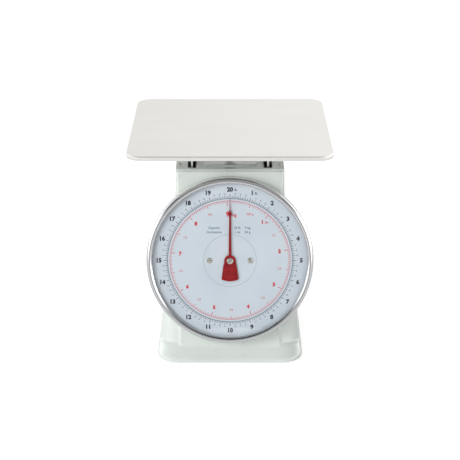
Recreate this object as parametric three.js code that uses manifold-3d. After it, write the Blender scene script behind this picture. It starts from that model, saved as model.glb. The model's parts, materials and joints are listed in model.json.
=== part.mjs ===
// Mechanical dial platform scale with a spring and rack movement, in millimetres, +Z up.
// It faces -Y. Its origin is on the floor, at the centre of the whole scale's outline in plan.
import * as THREE from "three";
import { mergeVertices } from "three/addons/utils/BufferGeometryUtils.js";
import Module from "manifold-3d";

const wasm = await Module();
wasm.setup();

// Whole scale
const scaleHeight = 281; // floor to the tray's surface
const restGap = 0.3; // between pieces that touch
const platformTravel = 16.6; // full load, with a little past one turn of the pointer

// Casing
const footHeight = 3;
const footRadius = 9;
const footInset = 23;
const caseGauge = 1.2;
const topHalfWidth = 68.5;
const topHalfDepth = 50;
const topCorner = 5;
const neckDrop = 31; // height of the upright band under the casing's top
const baseHalfWidth = 93;
const baseBack = 75; // rear edge of the base behind the tray's centre
const baseCorner = 27;
const faceLean = 14; // degrees that the dial leans back
const skirtHeight = 15; // crease above the casing's lower edge
const skirtStep = 14; // how far the skirt comes forward of the crease
const rimHeight = 4;
const topFlange = 5.5;
const coverDepth = 2.4;
const coverEdge = 1.2;
const coverScrewInset = 5;
const coverScrewSpacing = 62;
const coverScrewRadius = 1.2;
const coverHeadRadius = 2.6;
const basePlateLift = 1;
const rearCoverHalfWidth = 50;
const rearCoverHalfHeight = 66;
const rearCoverLap = 6;
const rearScrewInset = 3;
const rearScrewRadius = 1.4;
const rearHeadRadius = 3;

// Tray
const trayWidth = 250;
const trayDepth = 245;
const trayCorner = 19;
const trayRim = 5.5;
const trayEdge = 3;
const trayGauge = 1;

// Dial, sizes along its own axis measured from the casing's front
const panRadius = 105.2;
const panDrop = 8.2; // pan's edge below the casing's front edge, along the lean
const panGauge = 1.2;
const panShoulder = 13.6; // where the pan's wall steps in for the bezel
const panStep = 3.2;
const panDepth = 17;
const dialGauge = 0.8;
const dialPostRadius = 4;
const gasketWidth = 2.2;
const lensGauge = 2;
const lensRise = 1;
const bezelSetIn = 0.5; // from the pan's edge
const bezelWidth = 7.3;
const bezelRise = 3.2; // crest above the lip that holds the lens
const arborHole = 12;
const dialScrewSpacing = 51;
const dialScrewHead = 1.1; // low, so that the pointer's tail clears it
const pointerScrewHead = 1.1; // low, so that it clears the lens

// Movement
const gearModule = 0.5;
const pinionTeeth = 10;
const profileShift = 0.42;
const backlash = 0.06;
const pinionLength = 11;
const pinionFront = -10;
const arborRadius = 1.5;
const rackThickness = 4;
const rackSetIn = 1.5; // behind the pinion's front
const rackWidth = 9.3;
const rackReach = 45; // above the pinion's axis
const bracketSetIn = 5; // in front of the leg's front edge
const bracketGauge = 3;
const bracketHalfHeight = 6;
const movementHalfWidth = 22;
const movementLow = -25;
const movementHigh = 18;
const frontPlateBack = -8;
const rearPlateFront = -24.5;
const plateGauge = 1.5;
const pillarRadius = 2.5;

// Pointer
const pointerTip = 78;
const pointerSpade = 59;
const pointerSpadePoint = 5.5; // from the spade's widest part to where the thin needle starts
const pointerHub = 7.3;
const pointerTail = 24.5;
const pointerTailHalf = 10.8;
const pointerGauge = 1.2;
const pointerStand = 16.4;

// Carrier, links and springs
const legInset = 20.5; // leg's middle to the casing's side
const legGauge = 2.3;
const legHalfDepth = 41;
const flangeWidth = 13; // of the legs' top flanges
const flangeHalfDepth = 30;
const legClearance = 4.1; // leg to the slot's long edge
const legReach = 14; // below the lower link's rear pivot
const linkLength = 70;
const linkGauge = 2;
const linkInset = 6; // arm's middle to the leg's
const linkBoss = 5;
const carrierPinInset = 7.5; // from the leg's front edge
const upperLinkDrop = 34.5; // rear pivot below the casing's top
const lowerLinkHeight = 112;
const pinRadius = 2;
const pinPlay = 0.7; // in the links' front holes, for the arc they swing through
const springInset = 20; // from the link arms
const springRadius = 8;
const springWire = 2;
const springLine = -15; // springs and zero screw, in front of the tray's centre
const hangerTravel = 2;
const knobRadius = 7.5;
const knobHeight = 11;
const knobLift = 2; // above the casing's top
const overTravel = 4.8; // room left over the knob at full load
const screwRadius = 2.5;
const bufferRadius = 8;
const bufferHeight = 3.5;
const spiderGauge = 2;
const bufferX = 85;
const bufferY = 80;
const frameInset = 6.75; // upright's middle to the link arm's
const frameGauge = 2.5;
const frameReach = 10; // behind the rear pivots
const frameDepth = 28;
const bridgeGauge = 2.5;
const bridgeDrop = 13.2; // casing top to the bridge's underside
const hangerDrop = 30; // bridge's underside to the hanger's top
const hangerGauge = 6;
const crossbarRise = 8; // crossbar's top above the legs' feet
const crossbarGauge = 6;
const crossbarHalfDepth = 5;

// Places that follow from them
const rimBottom = footHeight;
const legTop = scaleHeight - trayGauge - bufferHeight - spiderGauge - 3 * restGap;
const caseTop = legTop + restGap - platformTravel - overTravel - knobHeight - knobLift;
const shellTop = caseTop - coverDepth;
const neck = caseTop - neckDrop;
const crease = rimBottom + skirtHeight;
const lean = THREE.MathUtils.degToRad(faceLean);
const creaseFront = -topHalfDepth - (caseTop - crease) * Math.tan(lean);
const baseFront = creaseFront - skirtStep;
const backLean = Math.atan((baseBack - topHalfDepth) / (neck - rimBottom - rimHeight));
const dialDrop = panRadius + panDrop;
const dialCentre = new THREE.Vector3(
  0,
  -topHalfDepth - dialDrop * Math.sin(lean),
  caseTop - dialDrop * Math.cos(lean),
);
const panSeat = panRadius - panStep;
const lensEdge = panDepth + 1.5;
const bezelLip = lensEdge + lensGauge + restGap;
const bezelFoot = panShoulder + restGap;
const bezelBore = panSeat + restGap;
const bezelOuter = panRadius - bezelSetIn;
const bezelInner = bezelOuter - bezelWidth;
const bezelCrest = bezelLip + bezelRise;
const legSpacing = 2 * (topHalfWidth - legInset);
const legInner = legSpacing / 2 - legGauge / 2;
const legOuter = legInner + legGauge;
const linkArmSpacing = legSpacing - 2 * linkInset;
const springSpacing = linkArmSpacing - 2 * springInset;
const frameSpacing = linkArmSpacing - 2 * frameInset;
const linkRise = platformTravel / 2;
const linkFront = carrierPinInset - legHalfDepth;
const linkRear = linkFront + Math.sqrt(linkLength ** 2 - linkRise ** 2);
const frameBack = linkRear + frameReach;
const frameFront = frameBack - frameDepth;
const upperLinkHeight = caseTop - upperLinkDrop;
const carrierFoot = lowerLinkHeight - legReach;
const crossTop = carrierFoot + crossbarRise;
const bridgeBottom = caseTop - bridgeDrop;
const bridgeTop = bridgeBottom + bridgeGauge;
const hangerTop = bridgeBottom - hangerDrop;
const hangerBottom = hangerTop - hangerGauge;
const rackFront = pinionFront - rackSetIn;

// The bezel's section as [radius, height] points
const bezelSection = [
  [bezelBore, bezelFoot],
  [bezelOuter, bezelFoot],
  [bezelOuter, bezelLip - 3],
  [bezelOuter - 0.7, bezelLip],
  [bezelOuter - 2, bezelLip + 2],
  [bezelOuter - 4, bezelCrest],
  [bezelInner + 1.5, bezelCrest - 0.4],
  [bezelInner, bezelCrest - 2],
  [bezelInner, bezelLip],
  [bezelBore, bezelLip],
];
const bezelReach = bezelSection.map(([r, z]) => z * Math.cos(lean) + r * Math.sin(lean));
const scaleFront = Math.min(dialCentre.y - Math.max(...bezelReach), -trayDepth / 2, baseFront);
const originShift = -(scaleFront + trayDepth / 2) / 2;

const metal = { roughness: 0.45, metalness: 0.9 };
const finishes = {
  enamel: { color: 0xd4dad5, roughness: 0.25, metalness: 0 },
  stainless: { color: 0xdedcd7, roughness: 0.35, metalness: 1 },
  chrome: { color: 0xdddddd, roughness: 0.06, metalness: 1 },
  dialPaint: { color: 0xcdd7df, roughness: 0.5, metalness: 0 },
  pointerPaint: { color: 0xaa1928, roughness: 0.4, metalness: 0 },
  glass: { color: 0xffffff, roughness: 0.02, metalness: 0, transparent: true, opacity: 0.25 },
  rubber: { color: 0x1e1e1e, roughness: 0.85, metalness: 0 },
  zinc: { color: 0xb9bbb8, ...metal },
  brass: { color: 0xc2a35a, ...metal },
  springSteel: { color: 0x8d9094, ...metal },
  screwSteel: { color: 0xc3c4c2, ...metal },
  knobPlastic: { color: 0x23282a, roughness: 0.5, metalness: 0 },
};
const materials = Object.fromEntries(
  Object.entries(finishes).map(([name, look]) => [name, new THREE.MeshStandardMaterial(look)]),
);

// A closed mesh as a solid for joining and cutting
function toSolid(geometry) {
  const bare = geometry.clone();
  bare.deleteAttribute("normal");
  bare.deleteAttribute("uv");
  const merged = mergeVertices(bare, 1e-4);
  const mesh = new wasm.Mesh({
    numProp: 3,
    vertProperties: merged.attributes.position.array,
    triVerts: new Uint32Array(merged.index.array),
  });
  return new wasm.Manifold(mesh);
}

function toGeometry(solid) {
  const mesh = solid.getMesh();
  const geometry = new THREE.BufferGeometry();
  geometry.setAttribute("position", new THREE.BufferAttribute(mesh.vertProperties, 3));
  geometry.setIndex(new THREE.BufferAttribute(mesh.triVerts, 1));
  geometry.computeVertexNormals();
  return geometry;
}

function join(first, ...others) {
  return toGeometry(others.reduce((sum, g) => sum.add(toSolid(g)), toSolid(first)));
}

function cut(first, ...others) {
  return toGeometry(others.reduce((sum, g) => sum.subtract(toSolid(g)), toSolid(first)));
}

function block(x0, x1, y0, y1, z0, z1) {
  const box = new THREE.BoxGeometry(x1 - x0, y1 - y0, z1 - z0);
  return box.translate((x0 + x1) / 2, (y0 + y1) / 2, (z0 + z1) / 2);
}

// A round bar along Z
function bar(radius, z0, z1, x = 0, y = 0, sides = 20) {
  const cylinder = new THREE.CylinderGeometry(radius, radius, z1 - z0, sides);
  return cylinder.rotateX(Math.PI / 2).translate(x, y, (z0 + z1) / 2);
}

// A round bar along X
function crossBar(radius, halfLength, y, z, sides = 16) {
  const cylinder = new THREE.CylinderGeometry(radius, radius, 2 * halfLength, sides);
  return cylinder.rotateZ(Math.PI / 2).translate(0, y, z);
}

// A profile of [radius, height] points turned about Z; a profile that leaves the axis is closed
function turned(profile, segments = 20) {
  const points = profile.map(([r, z]) => new THREE.Vector2(r, z));
  const touchesAxis = profile[0][0] === 0;
  if (!touchesAxis) points.push(points[0].clone());
  return new THREE.LatheGeometry(points, segments).rotateX(Math.PI / 2);
}

function plate(points, z0, z1) {
  const shape = new THREE.Shape(points.map(([x, y]) => new THREE.Vector2(x, y)));
  const geometry = new THREE.ExtrudeGeometry(shape, { depth: z1 - z0, bevelEnabled: false });
  return geometry.translate(0, 0, z0);
}

// A plate that stands in the YZ plane, from [y, z] points, between two X places
function sidePlate(points, x0, x1) {
  const turn = new THREE.Matrix4().set(0, 0, 1, 0, 1, 0, 0, 0, 0, 1, 0, 0, 0, 0, 0, 1);
  return plate(points, x0, x1).applyMatrix4(turn);
}

// Points of a rectangle with round corners, anticlockwise from the front right corner
function roundedRing(halfX, front, back, radius, z, steps = 5) {
  const ring = [];
  const corners = [
    [halfX - radius, front + radius, -90],
    [halfX - radius, back - radius, 0],
    [radius - halfX, back - radius, 90],
    [radius - halfX, front + radius, 180],
  ];
  for (const [x, y, start] of corners) {
    for (let i = 0; i <= steps; i++) {
      const angle = THREE.MathUtils.degToRad(start + (90 * i) / steps);
      ring.push([x + radius * Math.cos(angle), y + radius * Math.sin(angle), z]);
    }
  }
  return ring;
}

// A skin over rings with equal counts; its ends are capped, or it closes on its first ring
function skin(rings, closed = false) {
  const count = rings[0].length;
  const index = [];
  const last = closed ? rings.length : rings.length - 1;
  for (let i = 0; i < last; i++) {
    const a = i * count;
    const b = ((i + 1) % rings.length) * count;
    for (let j = 0; j < count; j++) {
      const k = (j + 1) % count;
      index.push(a + j, a + k, b + k, a + j, b + k, b + j);
    }
  }
  if (!closed) {
    const top = (rings.length - 1) * count;
    for (let j = 1; j < count - 1; j++) {
      index.push(0, j + 1, j);
      index.push(top, top + j, top + j + 1);
    }
  }
  const geometry = new THREE.BufferGeometry();
  geometry.setAttribute("position", new THREE.Float32BufferAttribute(rings.flat(2), 3));
  geometry.setIndex(index);
  return facingOut(geometry);
}

// Turns a closed mesh whose faces point inwards the right way round
function facingOut(geometry) {
  const p = geometry.attributes.position;
  const index = geometry.index.array;
  const [a, b, c] = [new THREE.Vector3(), new THREE.Vector3(), new THREE.Vector3()];
  let volume = 0;
  for (let i = 0; i < index.length; i += 3) {
    a.fromBufferAttribute(p, index[i]);
    b.fromBufferAttribute(p, index[i + 1]);
    c.fromBufferAttribute(p, index[i + 2]);
    volume += a.dot(b.cross(c));
  }
  if (volume < 0) geometry.setIndex([...index].reverse());
  return geometry;
}

// Casing section at a height, drawn in by an inset
function caseRing(z, inset) {
  const flare = THREE.MathUtils.clamp((neck - z) / (neck - rimBottom - rimHeight), 0, 1);
  const halfX = THREE.MathUtils.lerp(topHalfWidth, baseHalfWidth, flare);
  const radius = THREE.MathUtils.lerp(topCorner, baseCorner, flare);
  const back = THREE.MathUtils.lerp(topHalfDepth, baseBack, flare);
  const skirtTop = rimBottom + rimHeight;
  const out = THREE.MathUtils.clamp((crease - z) / (crease - skirtTop), 0, 1);
  const panel = -topHalfDepth - (caseTop - Math.max(z, crease)) * Math.tan(lean);
  const front = panel - out * skirtStep;
  return roundedRing(halfX - inset, front + inset, back - inset, Math.max(radius - inset, 1), z);
}

const scale = new THREE.Group();
scale.position.y = originShift;

// Everything round the dial's axis: X across, Y up the dial and Z out of it
const dial = new THREE.Group();
dial.position.copy(dialCentre);
dial.rotation.x = Math.PI / 2 - lean;
scale.add(dial);

// The rear wall's own frame: X across, Y down the wall and Z out of it
const rearWall = new THREE.Group();
const rearCoverHeight = (neck + crease) / 2;
const rearCoverPlace = baseBack - (rearCoverHeight - rimBottom - rimHeight) * Math.tan(backLean);
rearWall.position.set(0, rearCoverPlace, rearCoverHeight);
rearWall.rotation.x = backLean - Math.PI / 2;
scale.add(rearWall);

function add(name, finish, geometry, group = scale) {
  const mesh = new THREE.Mesh(geometry, materials[finish]);
  mesh.name = name;
  group.add(mesh);
  return mesh;
}

// A shape of one group's frame, moved into the scale's frame
function fromGroup(geometry, group) {
  group.updateMatrix();
  return geometry.clone().applyMatrix4(group.matrix);
}

const sides = [
  ["left", -1],
  ["right", 1],
];
const ends = [
  ["front", -1],
  ["rear", 1],
];

const rearScrews = sides.flatMap(([, x]) =>
  ends.map(([, y]) => [x * (rearCoverHalfWidth - rearScrewInset), y * (rearCoverHalfHeight - rearScrewInset)]),
);

const coverScrewPlace = [topHalfWidth - coverScrewInset, coverScrewSpacing / 2];
const coverScrews = ends.flatMap(([end, y]) =>
  sides.map(([side, x]) => [`${end}_${side}`, x * coverScrewPlace[0], y * coverScrewPlace[1]]),
);

// Clearance holes for the cover's screws
function coverScrewHoles() {
  const radius = coverScrewRadius + restGap;
  return coverScrews.map(([, x, y]) => bar(radius, shellTop - 5, caseTop + 1, x, y, 12));
}

function bodyShell() {
  const top = shellTop;
  const under = top - caseGauge;
  const levels = [rimBottom, rimBottom + rimHeight, crease, neck];
  const rings = levels.map((z) => caseRing(z, 0));
  rings.push(caseRing(top, 0), caseRing(top, topFlange), caseRing(under, topFlange));
  rings.push(caseRing(under, caseGauge));
  rings.push(...levels.reverse().map((z) => caseRing(z, caseGauge)));
  const opening = block(
    rearCoverLap - rearCoverHalfWidth,
    rearCoverHalfWidth - rearCoverLap,
    rearCoverLap - rearCoverHalfHeight,
    rearCoverHalfHeight - rearCoverLap,
    -8,
    5,
  );
  const holes = rearScrews.map(([x, y]) => bar(rearScrewRadius + restGap, -8, 5, x, y, 12));
  const rearCuts = [opening, ...holes].map((g) => fromGroup(g, rearWall));
  const arborCut = fromGroup(bar(arborHole, -8, 5, 0, 0, 32), dial);
  return cut(skin(rings, true), arborCut, ...rearCuts, ...coverScrewHoles());
}

function rearCover() {
  const w = rearCoverHalfWidth;
  const h = rearCoverHalfHeight;
  const rings = [restGap, restGap + caseGauge].map((z) => roundedRing(w, -h, h, topCorner, z, 3));
  const holes = rearScrews.map(([x, y]) => bar(rearScrewRadius + restGap, -8, 5, x, y, 12));
  return cut(skin(rings), ...holes);
}

// A pan-head screw along Z whose head stands on a seat
function panScrew(headRadius, headHeight, shankRadius, shankLength, seat) {
  return turned(
    [
      [0, seat - shankLength],
      [shankRadius, seat - shankLength],
      [shankRadius, seat],
      [headRadius, seat],
      [headRadius, seat + headHeight * 0.45],
      [headRadius * 0.55, seat + headHeight],
      [0, seat + headHeight],
    ],
    16,
  );
}

const slotHalfLength = legHalfDepth + 2;
const slotHalfWidth = legGauge / 2 + legClearance;

function topCover() {
  const under = shellTop + restGap;
  const ring = (z, inset) =>
    roundedRing(topHalfWidth - inset, inset - topHalfDepth, topHalfDepth - inset, topCorner - inset / 2, z);
  const pocket = caseTop - caseGauge;
  const rings = [ring(pocket, topFlange), ring(under, topFlange), ring(under, 0)];
  rings.push(ring(caseTop - coverEdge, 0), ring(caseTop, coverEdge));
  const cuts = sides.map(([, x]) =>
    block(
      (x * legSpacing) / 2 - slotHalfWidth,
      (x * legSpacing) / 2 + slotHalfWidth,
      -slotHalfLength,
      slotHalfLength,
      under - 1,
      caseTop + 1,
    ),
  );
  cuts.push(bar(screwRadius + 1.5, under - 1, caseTop + 1, 0, springLine));
  return cut(skin(rings), ...cuts, ...coverScrewHoles());
}

function addCasing() {
  add("body_shell", "enamel", bodyShell());
  add("top_cover", "enamel", topCover());
  add("rear_cover", "enamel", rearCover(), rearWall);
  rearScrews.forEach(([x, y], i) => {
    const screw = panScrew(rearHeadRadius, 1.8, rearScrewRadius, 6, 2 * restGap + caseGauge).translate(x, y, 0);
    add("rear_cover_screw_" + (i + 1), "screwSteel", screw, rearWall);
  });
  const plateBottom = rimBottom + basePlateLift;
  const inset = caseGauge + restGap + 0.1;
  const base = skin([caseRing(plateBottom, inset), caseRing(plateBottom + caseGauge, inset)]);
  add("base_plate", "enamel", base);
  for (const [end, y] of ends) {
    for (const [side, x] of sides) {
      const foot = turned(
        [
          [0, 0],
          [footRadius - 1, 0],
          [footRadius, 1],
          [footRadius - 0.5, plateBottom - restGap],
          [0, plateBottom - restGap],
        ],
        20,
      );
      const edge = y < 0 ? baseFront + footInset : baseBack - footInset;
      add(`foot_${end}_${side}`, "rubber", foot.translate(x * (baseHalfWidth - footInset), edge, 0));
    }
  }
  for (const [place, x, y] of coverScrews) {
    const screw = panScrew(coverHeadRadius, 1.1, coverScrewRadius, 5, caseTop + restGap);
    add("cover_screw_" + place, "screwSteel", screw.translate(x, y, 0));
  }
}

const dialFront = panShoulder + restGap + dialGauge;
const dialSegments = 48;

function addDial() {
  const inner = panSeat - panGauge;
  const panFloor = restGap + panGauge;
  const pan = turned(
    [
      [arborHole, restGap],
      [panRadius, restGap],
      [panRadius, panShoulder],
      [panSeat, panShoulder],
      [panSeat, panDepth],
      [inner, panDepth],
      [inner, panShoulder - panGauge],
      [panRadius - panGauge, panShoulder - panGauge],
      [panRadius - panGauge, panFloor],
      [arborHole, panFloor],
    ],
    dialSegments,
  );
  const shankRadius = 1.5;
  const holes = sides.map(([, x]) =>
    bar(shankRadius + restGap, 5, 20, (x * dialScrewSpacing) / 2, 0, 12),
  );
  add("dial_pan", "enamel", facing(pan), dial);
  const face = bar(inner - restGap, dialFront - dialGauge, dialFront, 0, 0, dialSegments);
  add("dial_face", "dialPaint", cut(face, bar(arborRadius + 2, 5, 20), ...holes), dial);
  for (const [side, x] of sides) {
    const place = (x * dialScrewSpacing) / 2;
    const screw = panScrew(3.6, dialScrewHead, shankRadius, 5, dialFront + restGap);
    add("dial_screw_" + side, "screwSteel", screw.translate(place, 0, 0), dial);
    const post = cut(bar(dialPostRadius, panFloor + restGap, panShoulder, place, 0), ...holes);
    add("dial_post_" + side, "brass", post, dial);
  }
  const gasketOuter = inner - restGap;
  const gasket = turned(
    [
      [gasketOuter - gasketWidth, dialFront + restGap],
      [gasketOuter, dialFront + restGap],
      [gasketOuter, lensEdge - restGap],
      [gasketOuter - gasketWidth, lensEdge - restGap],
    ],
    dialSegments,
  );
  add("lens_gasket", "rubber", facing(gasket), dial);
  add("dial_lens", "glass", facing(lensShape(panSeat - restGap)), dial);
  add("bezel_ring", "chrome", facing(turned(bezelSection, dialSegments)), dial);
}

// A shallow dome of even thickness: its height falls with the square of the radius
function lensShape(radius) {
  const steps = 4;
  const low = [];
  const high = [];
  for (let i = 0; i <= steps; i++) {
    const share = i / steps;
    const rise = lensRise * (1 - share * share);
    low.push([radius * share, lensEdge + rise]);
    high.push([radius * share, lensEdge + lensGauge + rise]);
  }
  return turned([...low, ...high.reverse()], dialSegments);
}

// A turned geometry as one closed mesh facing out
function facing(geometry) {
  const bare = geometry.clone();
  bare.deleteAttribute("normal");
  bare.deleteAttribute("uv");
  return facingOut(mergeVertices(bare, 1e-4));
}

const pitchRadius = (gearModule * pinionTeeth) / 2;
const pressure = THREE.MathUtils.degToRad(20);
const pinionTip = pitchRadius + 1.2 * gearModule;
const pinionRoot = pitchRadius - (1.25 - profileShift) * gearModule;
const rackLine = pitchRadius + profileShift * gearModule;
const toothPitch = Math.PI * gearModule;

// Outline of the pinion: involute flanks on the base circle, one tooth centred on +X
function pinionOutline() {
  const involute = (angle) => Math.tan(angle) - angle;
  const baseRadius = pitchRadius * Math.cos(pressure);
  const width = gearModule * (Math.PI / 2 + 2 * profileShift * Math.tan(pressure)) - backlash;
  const halfAngle = (r) => {
    const angle = Math.acos(Math.min(1, baseRadius / r));
    return width / (2 * pitchRadius) + involute(pressure) - involute(angle);
  };
  const radii = [baseRadius, pitchRadius, (pitchRadius + pinionTip) / 2, pinionTip];
  const outline = [];
  for (let tooth = 0; tooth < pinionTeeth; tooth++) {
    const centre = (2 * Math.PI * tooth) / pinionTeeth;
    const flank = radii.map((r) => [r, halfAngle(r)]);
    flank.unshift([pinionRoot, halfAngle(baseRadius)]);
    for (const [r, half] of flank) outline.push([r, centre - half]);
    for (const [r, half] of flank.reverse()) outline.push([r, centre + half]);
  }
  return outline.map(([r, angle]) => [r * Math.cos(angle), r * Math.sin(angle)]);
}

// Outline of the rack: teeth point to -X, with a tooth space level with the pinion's axis at rest
function rackOutline(lowTeeth, highTeeth, top) {
  const tip = rackLine - gearModule;
  const root = rackLine + 1.25 * gearModule;
  const half = (toothPitch - backlash) / 4;
  const atTip = half - gearModule * Math.tan(pressure);
  const atRoot = half + 1.25 * gearModule * Math.tan(pressure);
  const outline = [[root, -(lowTeeth + 0.5) * toothPitch]];
  for (let i = -lowTeeth; i < highTeeth; i++) {
    const y = (i + 0.5) * toothPitch;
    outline.push([root, y - atRoot], [tip, y - atTip], [tip, y + atTip], [root, y + atRoot]);
  }
  outline.push([root, top], [rackWidth, top], [rackWidth, -(lowTeeth + 0.5) * toothPitch]);
  return outline;
}

const pillarPlaces = [
  [-17, 12],
  [17, -19],
];

function addMovement() {
  const w = movementHalfWidth;
  const hole = bar(arborRadius + restGap, -40, 0);
  const frontPlate = join(
    block(-w, w, movementLow, movementHigh, frontPlateBack, frontPlateBack + plateGauge),
    block(-w, plateGauge - w, movementLow, movementHigh, frontPlateBack, -caseGauge - restGap),
    block(w - plateGauge, w, movementLow, movementHigh, frontPlateBack, -caseGauge - restGap),
  );
  add("movement_front_plate", "brass", cut(frontPlate, hole), dial);
  const rearPlate = block(-w, w, movementLow, movementHigh, rearPlateFront - plateGauge, rearPlateFront);
  add("movement_rear_plate", "brass", cut(rearPlate, hole), dial);
  pillarPlaces.forEach(([x, y], i) => {
    const pillar = bar(pillarRadius, rearPlateFront + restGap, frontPlateBack - restGap, x, y);
    add("movement_pillar_" + (i + 1), "brass", pillar, dial);
  });
  const shaft = bar(arborRadius, rearPlateFront - plateGauge - 1.5, pointerStand - restGap);
  const leaves = plate(pinionOutline(), pinionFront - pinionLength, pinionFront);
  add("pinion_arbor", "screwSteel", join(shaft, leaves), dial);
  const rackBack = rackFront - rackThickness;
  const teeth = Math.ceil(platformTravel / toothPitch) + 2;
  add("rack", "brass", plate(rackOutline(3, teeth, rackReach), rackBack, rackFront), dial);
  add("rack_bracket", "zinc", rackBracket(rackBack - restGap));
}

// A cross strap with an ear against each leg and a tongue out to the back of the rack
function rackBracket(tongueFront) {
  const middle = dialCentre.z + (rackReach - 3) * Math.cos(lean) - 3;
  const [low, high] = [middle - bracketHalfHeight, middle + bracketHalfHeight];
  const front = -legHalfDepth - bracketSetIn;
  const strapBack = front + bracketGauge;
  const half = legInner - restGap;
  const strap = block(-half, half, front, strapBack, low, high);
  const tongueBack = tongueFront - bracketReach();
  const tongue = block(rackLine + 1.5, rackWidth, rackReach - 9, rackReach, tongueBack, tongueFront);
  const ears = [
    block(-half, 2 - half, front, front + 16, low, high),
    block(half - 2, half, front, front + 16, low, high),
  ];
  return join(strap, fromGroup(tongue, dial), ...ears);
}

// How far the rack bracket's tongue runs back along the dial's axis to its strap
function bracketReach() {
  const height = (rackReach - 4.5) * Math.sin(lean);
  const rackBack = dialCentre.y + height - (rackFront - rackThickness) * Math.cos(lean);
  return (-legHalfDepth - bracketSetIn + bracketGauge - rackBack) / Math.cos(lean);
}

const pointerScrewShank = 1.2;

// Needle, spade head, round hub and a counterweight tail with a curved end
function pointerShape() {
  const shape = new THREE.Shape();
  const tailHalf = pointerTailHalf;
  const hubHalf = pointerHub - 0.3;
  const spade = pointerSpade;
  shape.moveTo(0.35, pointerTip);
  shape.lineTo(0.5, spade + pointerSpadePoint);
  shape.lineTo(2.4, spade);
  shape.lineTo(1.4, spade - 3);
  shape.lineTo(1.7, pointerHub - 1);
  shape.lineTo(hubHalf, 1.5);
  shape.lineTo(tailHalf, 3 - pointerTail);
  shape.quadraticCurveTo(0, -pointerTail - 3, -tailHalf, 3 - pointerTail);
  shape.lineTo(-hubHalf, 1.5);
  shape.lineTo(-1.7, pointerHub - 1);
  shape.lineTo(-1.4, spade - 3);
  shape.lineTo(-2.4, spade);
  shape.lineTo(-0.5, spade + pointerSpadePoint);
  shape.lineTo(-0.35, pointerTip);
  return shape;
}

function addPointer() {
  const options = { depth: pointerGauge, bevelEnabled: false, curveSegments: 8 };
  const blade = new THREE.ExtrudeGeometry(pointerShape(), options).translate(0, 0, pointerStand);
  const hub = bar(pointerHub, pointerStand, pointerStand + pointerGauge, 0, 0, 24);
  const hole = bar(pointerScrewShank + restGap, pointerStand - 1, pointerStand + 5, 0, 0, 12);
  add("pointer", "pointerPaint", cut(join(blade, hub), hole), dial);
  const seat = pointerStand + pointerGauge + restGap;
  const screw = panScrew(4, pointerScrewHead, pointerScrewShank, 1.4, seat);
  add("pointer_screw", "screwSteel", screw, dial);
}

// Two arms and a cross member between a rear pivot and a raised front pivot
function addLink(name, pivotHeight) {
  const half = linkArmSpacing / 2;
  const arm = (x) => {
    const body = block(x - linkGauge / 2, x + linkGauge / 2, -linkLength, 0, 1 - linkBoss, linkBoss - 1);
    const round = (y) => crossBar(linkBoss, linkGauge / 2, y, 0).translate(x, 0, 0);
    return [body, round(0), round(-linkLength)];
  };
  const parts = [...arm(-half), ...arm(half)];
  const cross = block(-half, half, 6 - linkLength, 9 - linkLength, -3.5, 3.5);
  const holes = [
    crossBar(pinRadius + restGap, half + 5, 0, 0),
    crossBar(pinRadius + pinPlay, half + 5, -linkLength, 0),
  ];
  const link = cut(join(cross, ...parts), ...holes);
  link.rotateX(-Math.asin(linkRise / linkLength));
  add(name, "zinc", link.translate(0, linkRear, pivotHeight));
}

function carrierSide(x) {
  const [y, z] = [flangeHalfDepth, legTop - legGauge];
  const leg = block(legInner, legOuter, -legHalfDepth, legHalfDepth, carrierFoot, legTop);
  const flange = block(legInner, legInner + flangeWidth, -y, y, z, legTop);
  const holes = [upperLinkHeight, lowerLinkHeight].map((z) =>
    crossBar(pinRadius + restGap, legSpacing, linkFront, z + linkRise),
  );
  const side = cut(join(leg, flange), ...holes);
  return x > 0 ? side : mirrored(side);
}

// The same shape across the plane X = 0
function mirrored(geometry) {
  const copy = geometry.clone().scale(-1, 1, 1);
  copy.setIndex([...copy.index.array].reverse());
  return copy;
}

// Central plate with four arms, one under each buffer
function spiderShape() {
  const halfX = legInner + 15;
  const halfY = 42;
  const reachX = bufferX + bufferRadius + 2;
  const reachY = bufferY + bufferRadius + 2;
  const outline = [];
  const corner = [
    [halfX, halfY - 22],
    [reachX, reachY - 18],
    [reachX, reachY],
    [reachX - 18, reachY],
    [halfX - 24, halfY],
  ];
  outline.push(...corner);
  outline.push(...corner.map(([x, y]) => [-x, y]).reverse());
  outline.push(...corner.map(([x, y]) => [-x, -y]));
  outline.push(...corner.map(([x, y]) => [x, -y]).reverse());
  return outline;
}

function addCarrier() {
  for (const [side, x] of sides) {
    add("carrier_side_" + side, "zinc", carrierSide(x));
  }
  const spiderBottom = legTop + restGap;
  const spiderTop = spiderBottom + spiderGauge;
  const bufferLow = spiderTop + restGap;
  add("platform_spider", "zinc", plate(spiderShape(), spiderBottom, spiderTop));
  for (const [end, y] of ends) {
    for (const [side, x] of sides) {
      const buffer = bar(bufferRadius, bufferLow, bufferLow + bufferHeight, x * bufferX, y * bufferY);
      add(`buffer_${end}_${side}`, "rubber", buffer);
    }
  }
  const reach = legInner - restGap;
  const [front, back] = [springLine - crossbarHalfDepth, springLine + crossbarHalfDepth];
  const crossbar = block(-reach, reach, front, back, crossTop - crossbarGauge, crossTop);
  add("spring_crossbar", "zinc", crossbar);
  const pinReach = legOuter + 2;
  add("upper_carrier_pin", "screwSteel", crossBar(pinRadius, pinReach, linkFront, upperLinkHeight + linkRise));
  add("lower_carrier_pin", "screwSteel", crossBar(pinRadius, pinReach, linkFront, lowerLinkHeight + linkRise));
}

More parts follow.
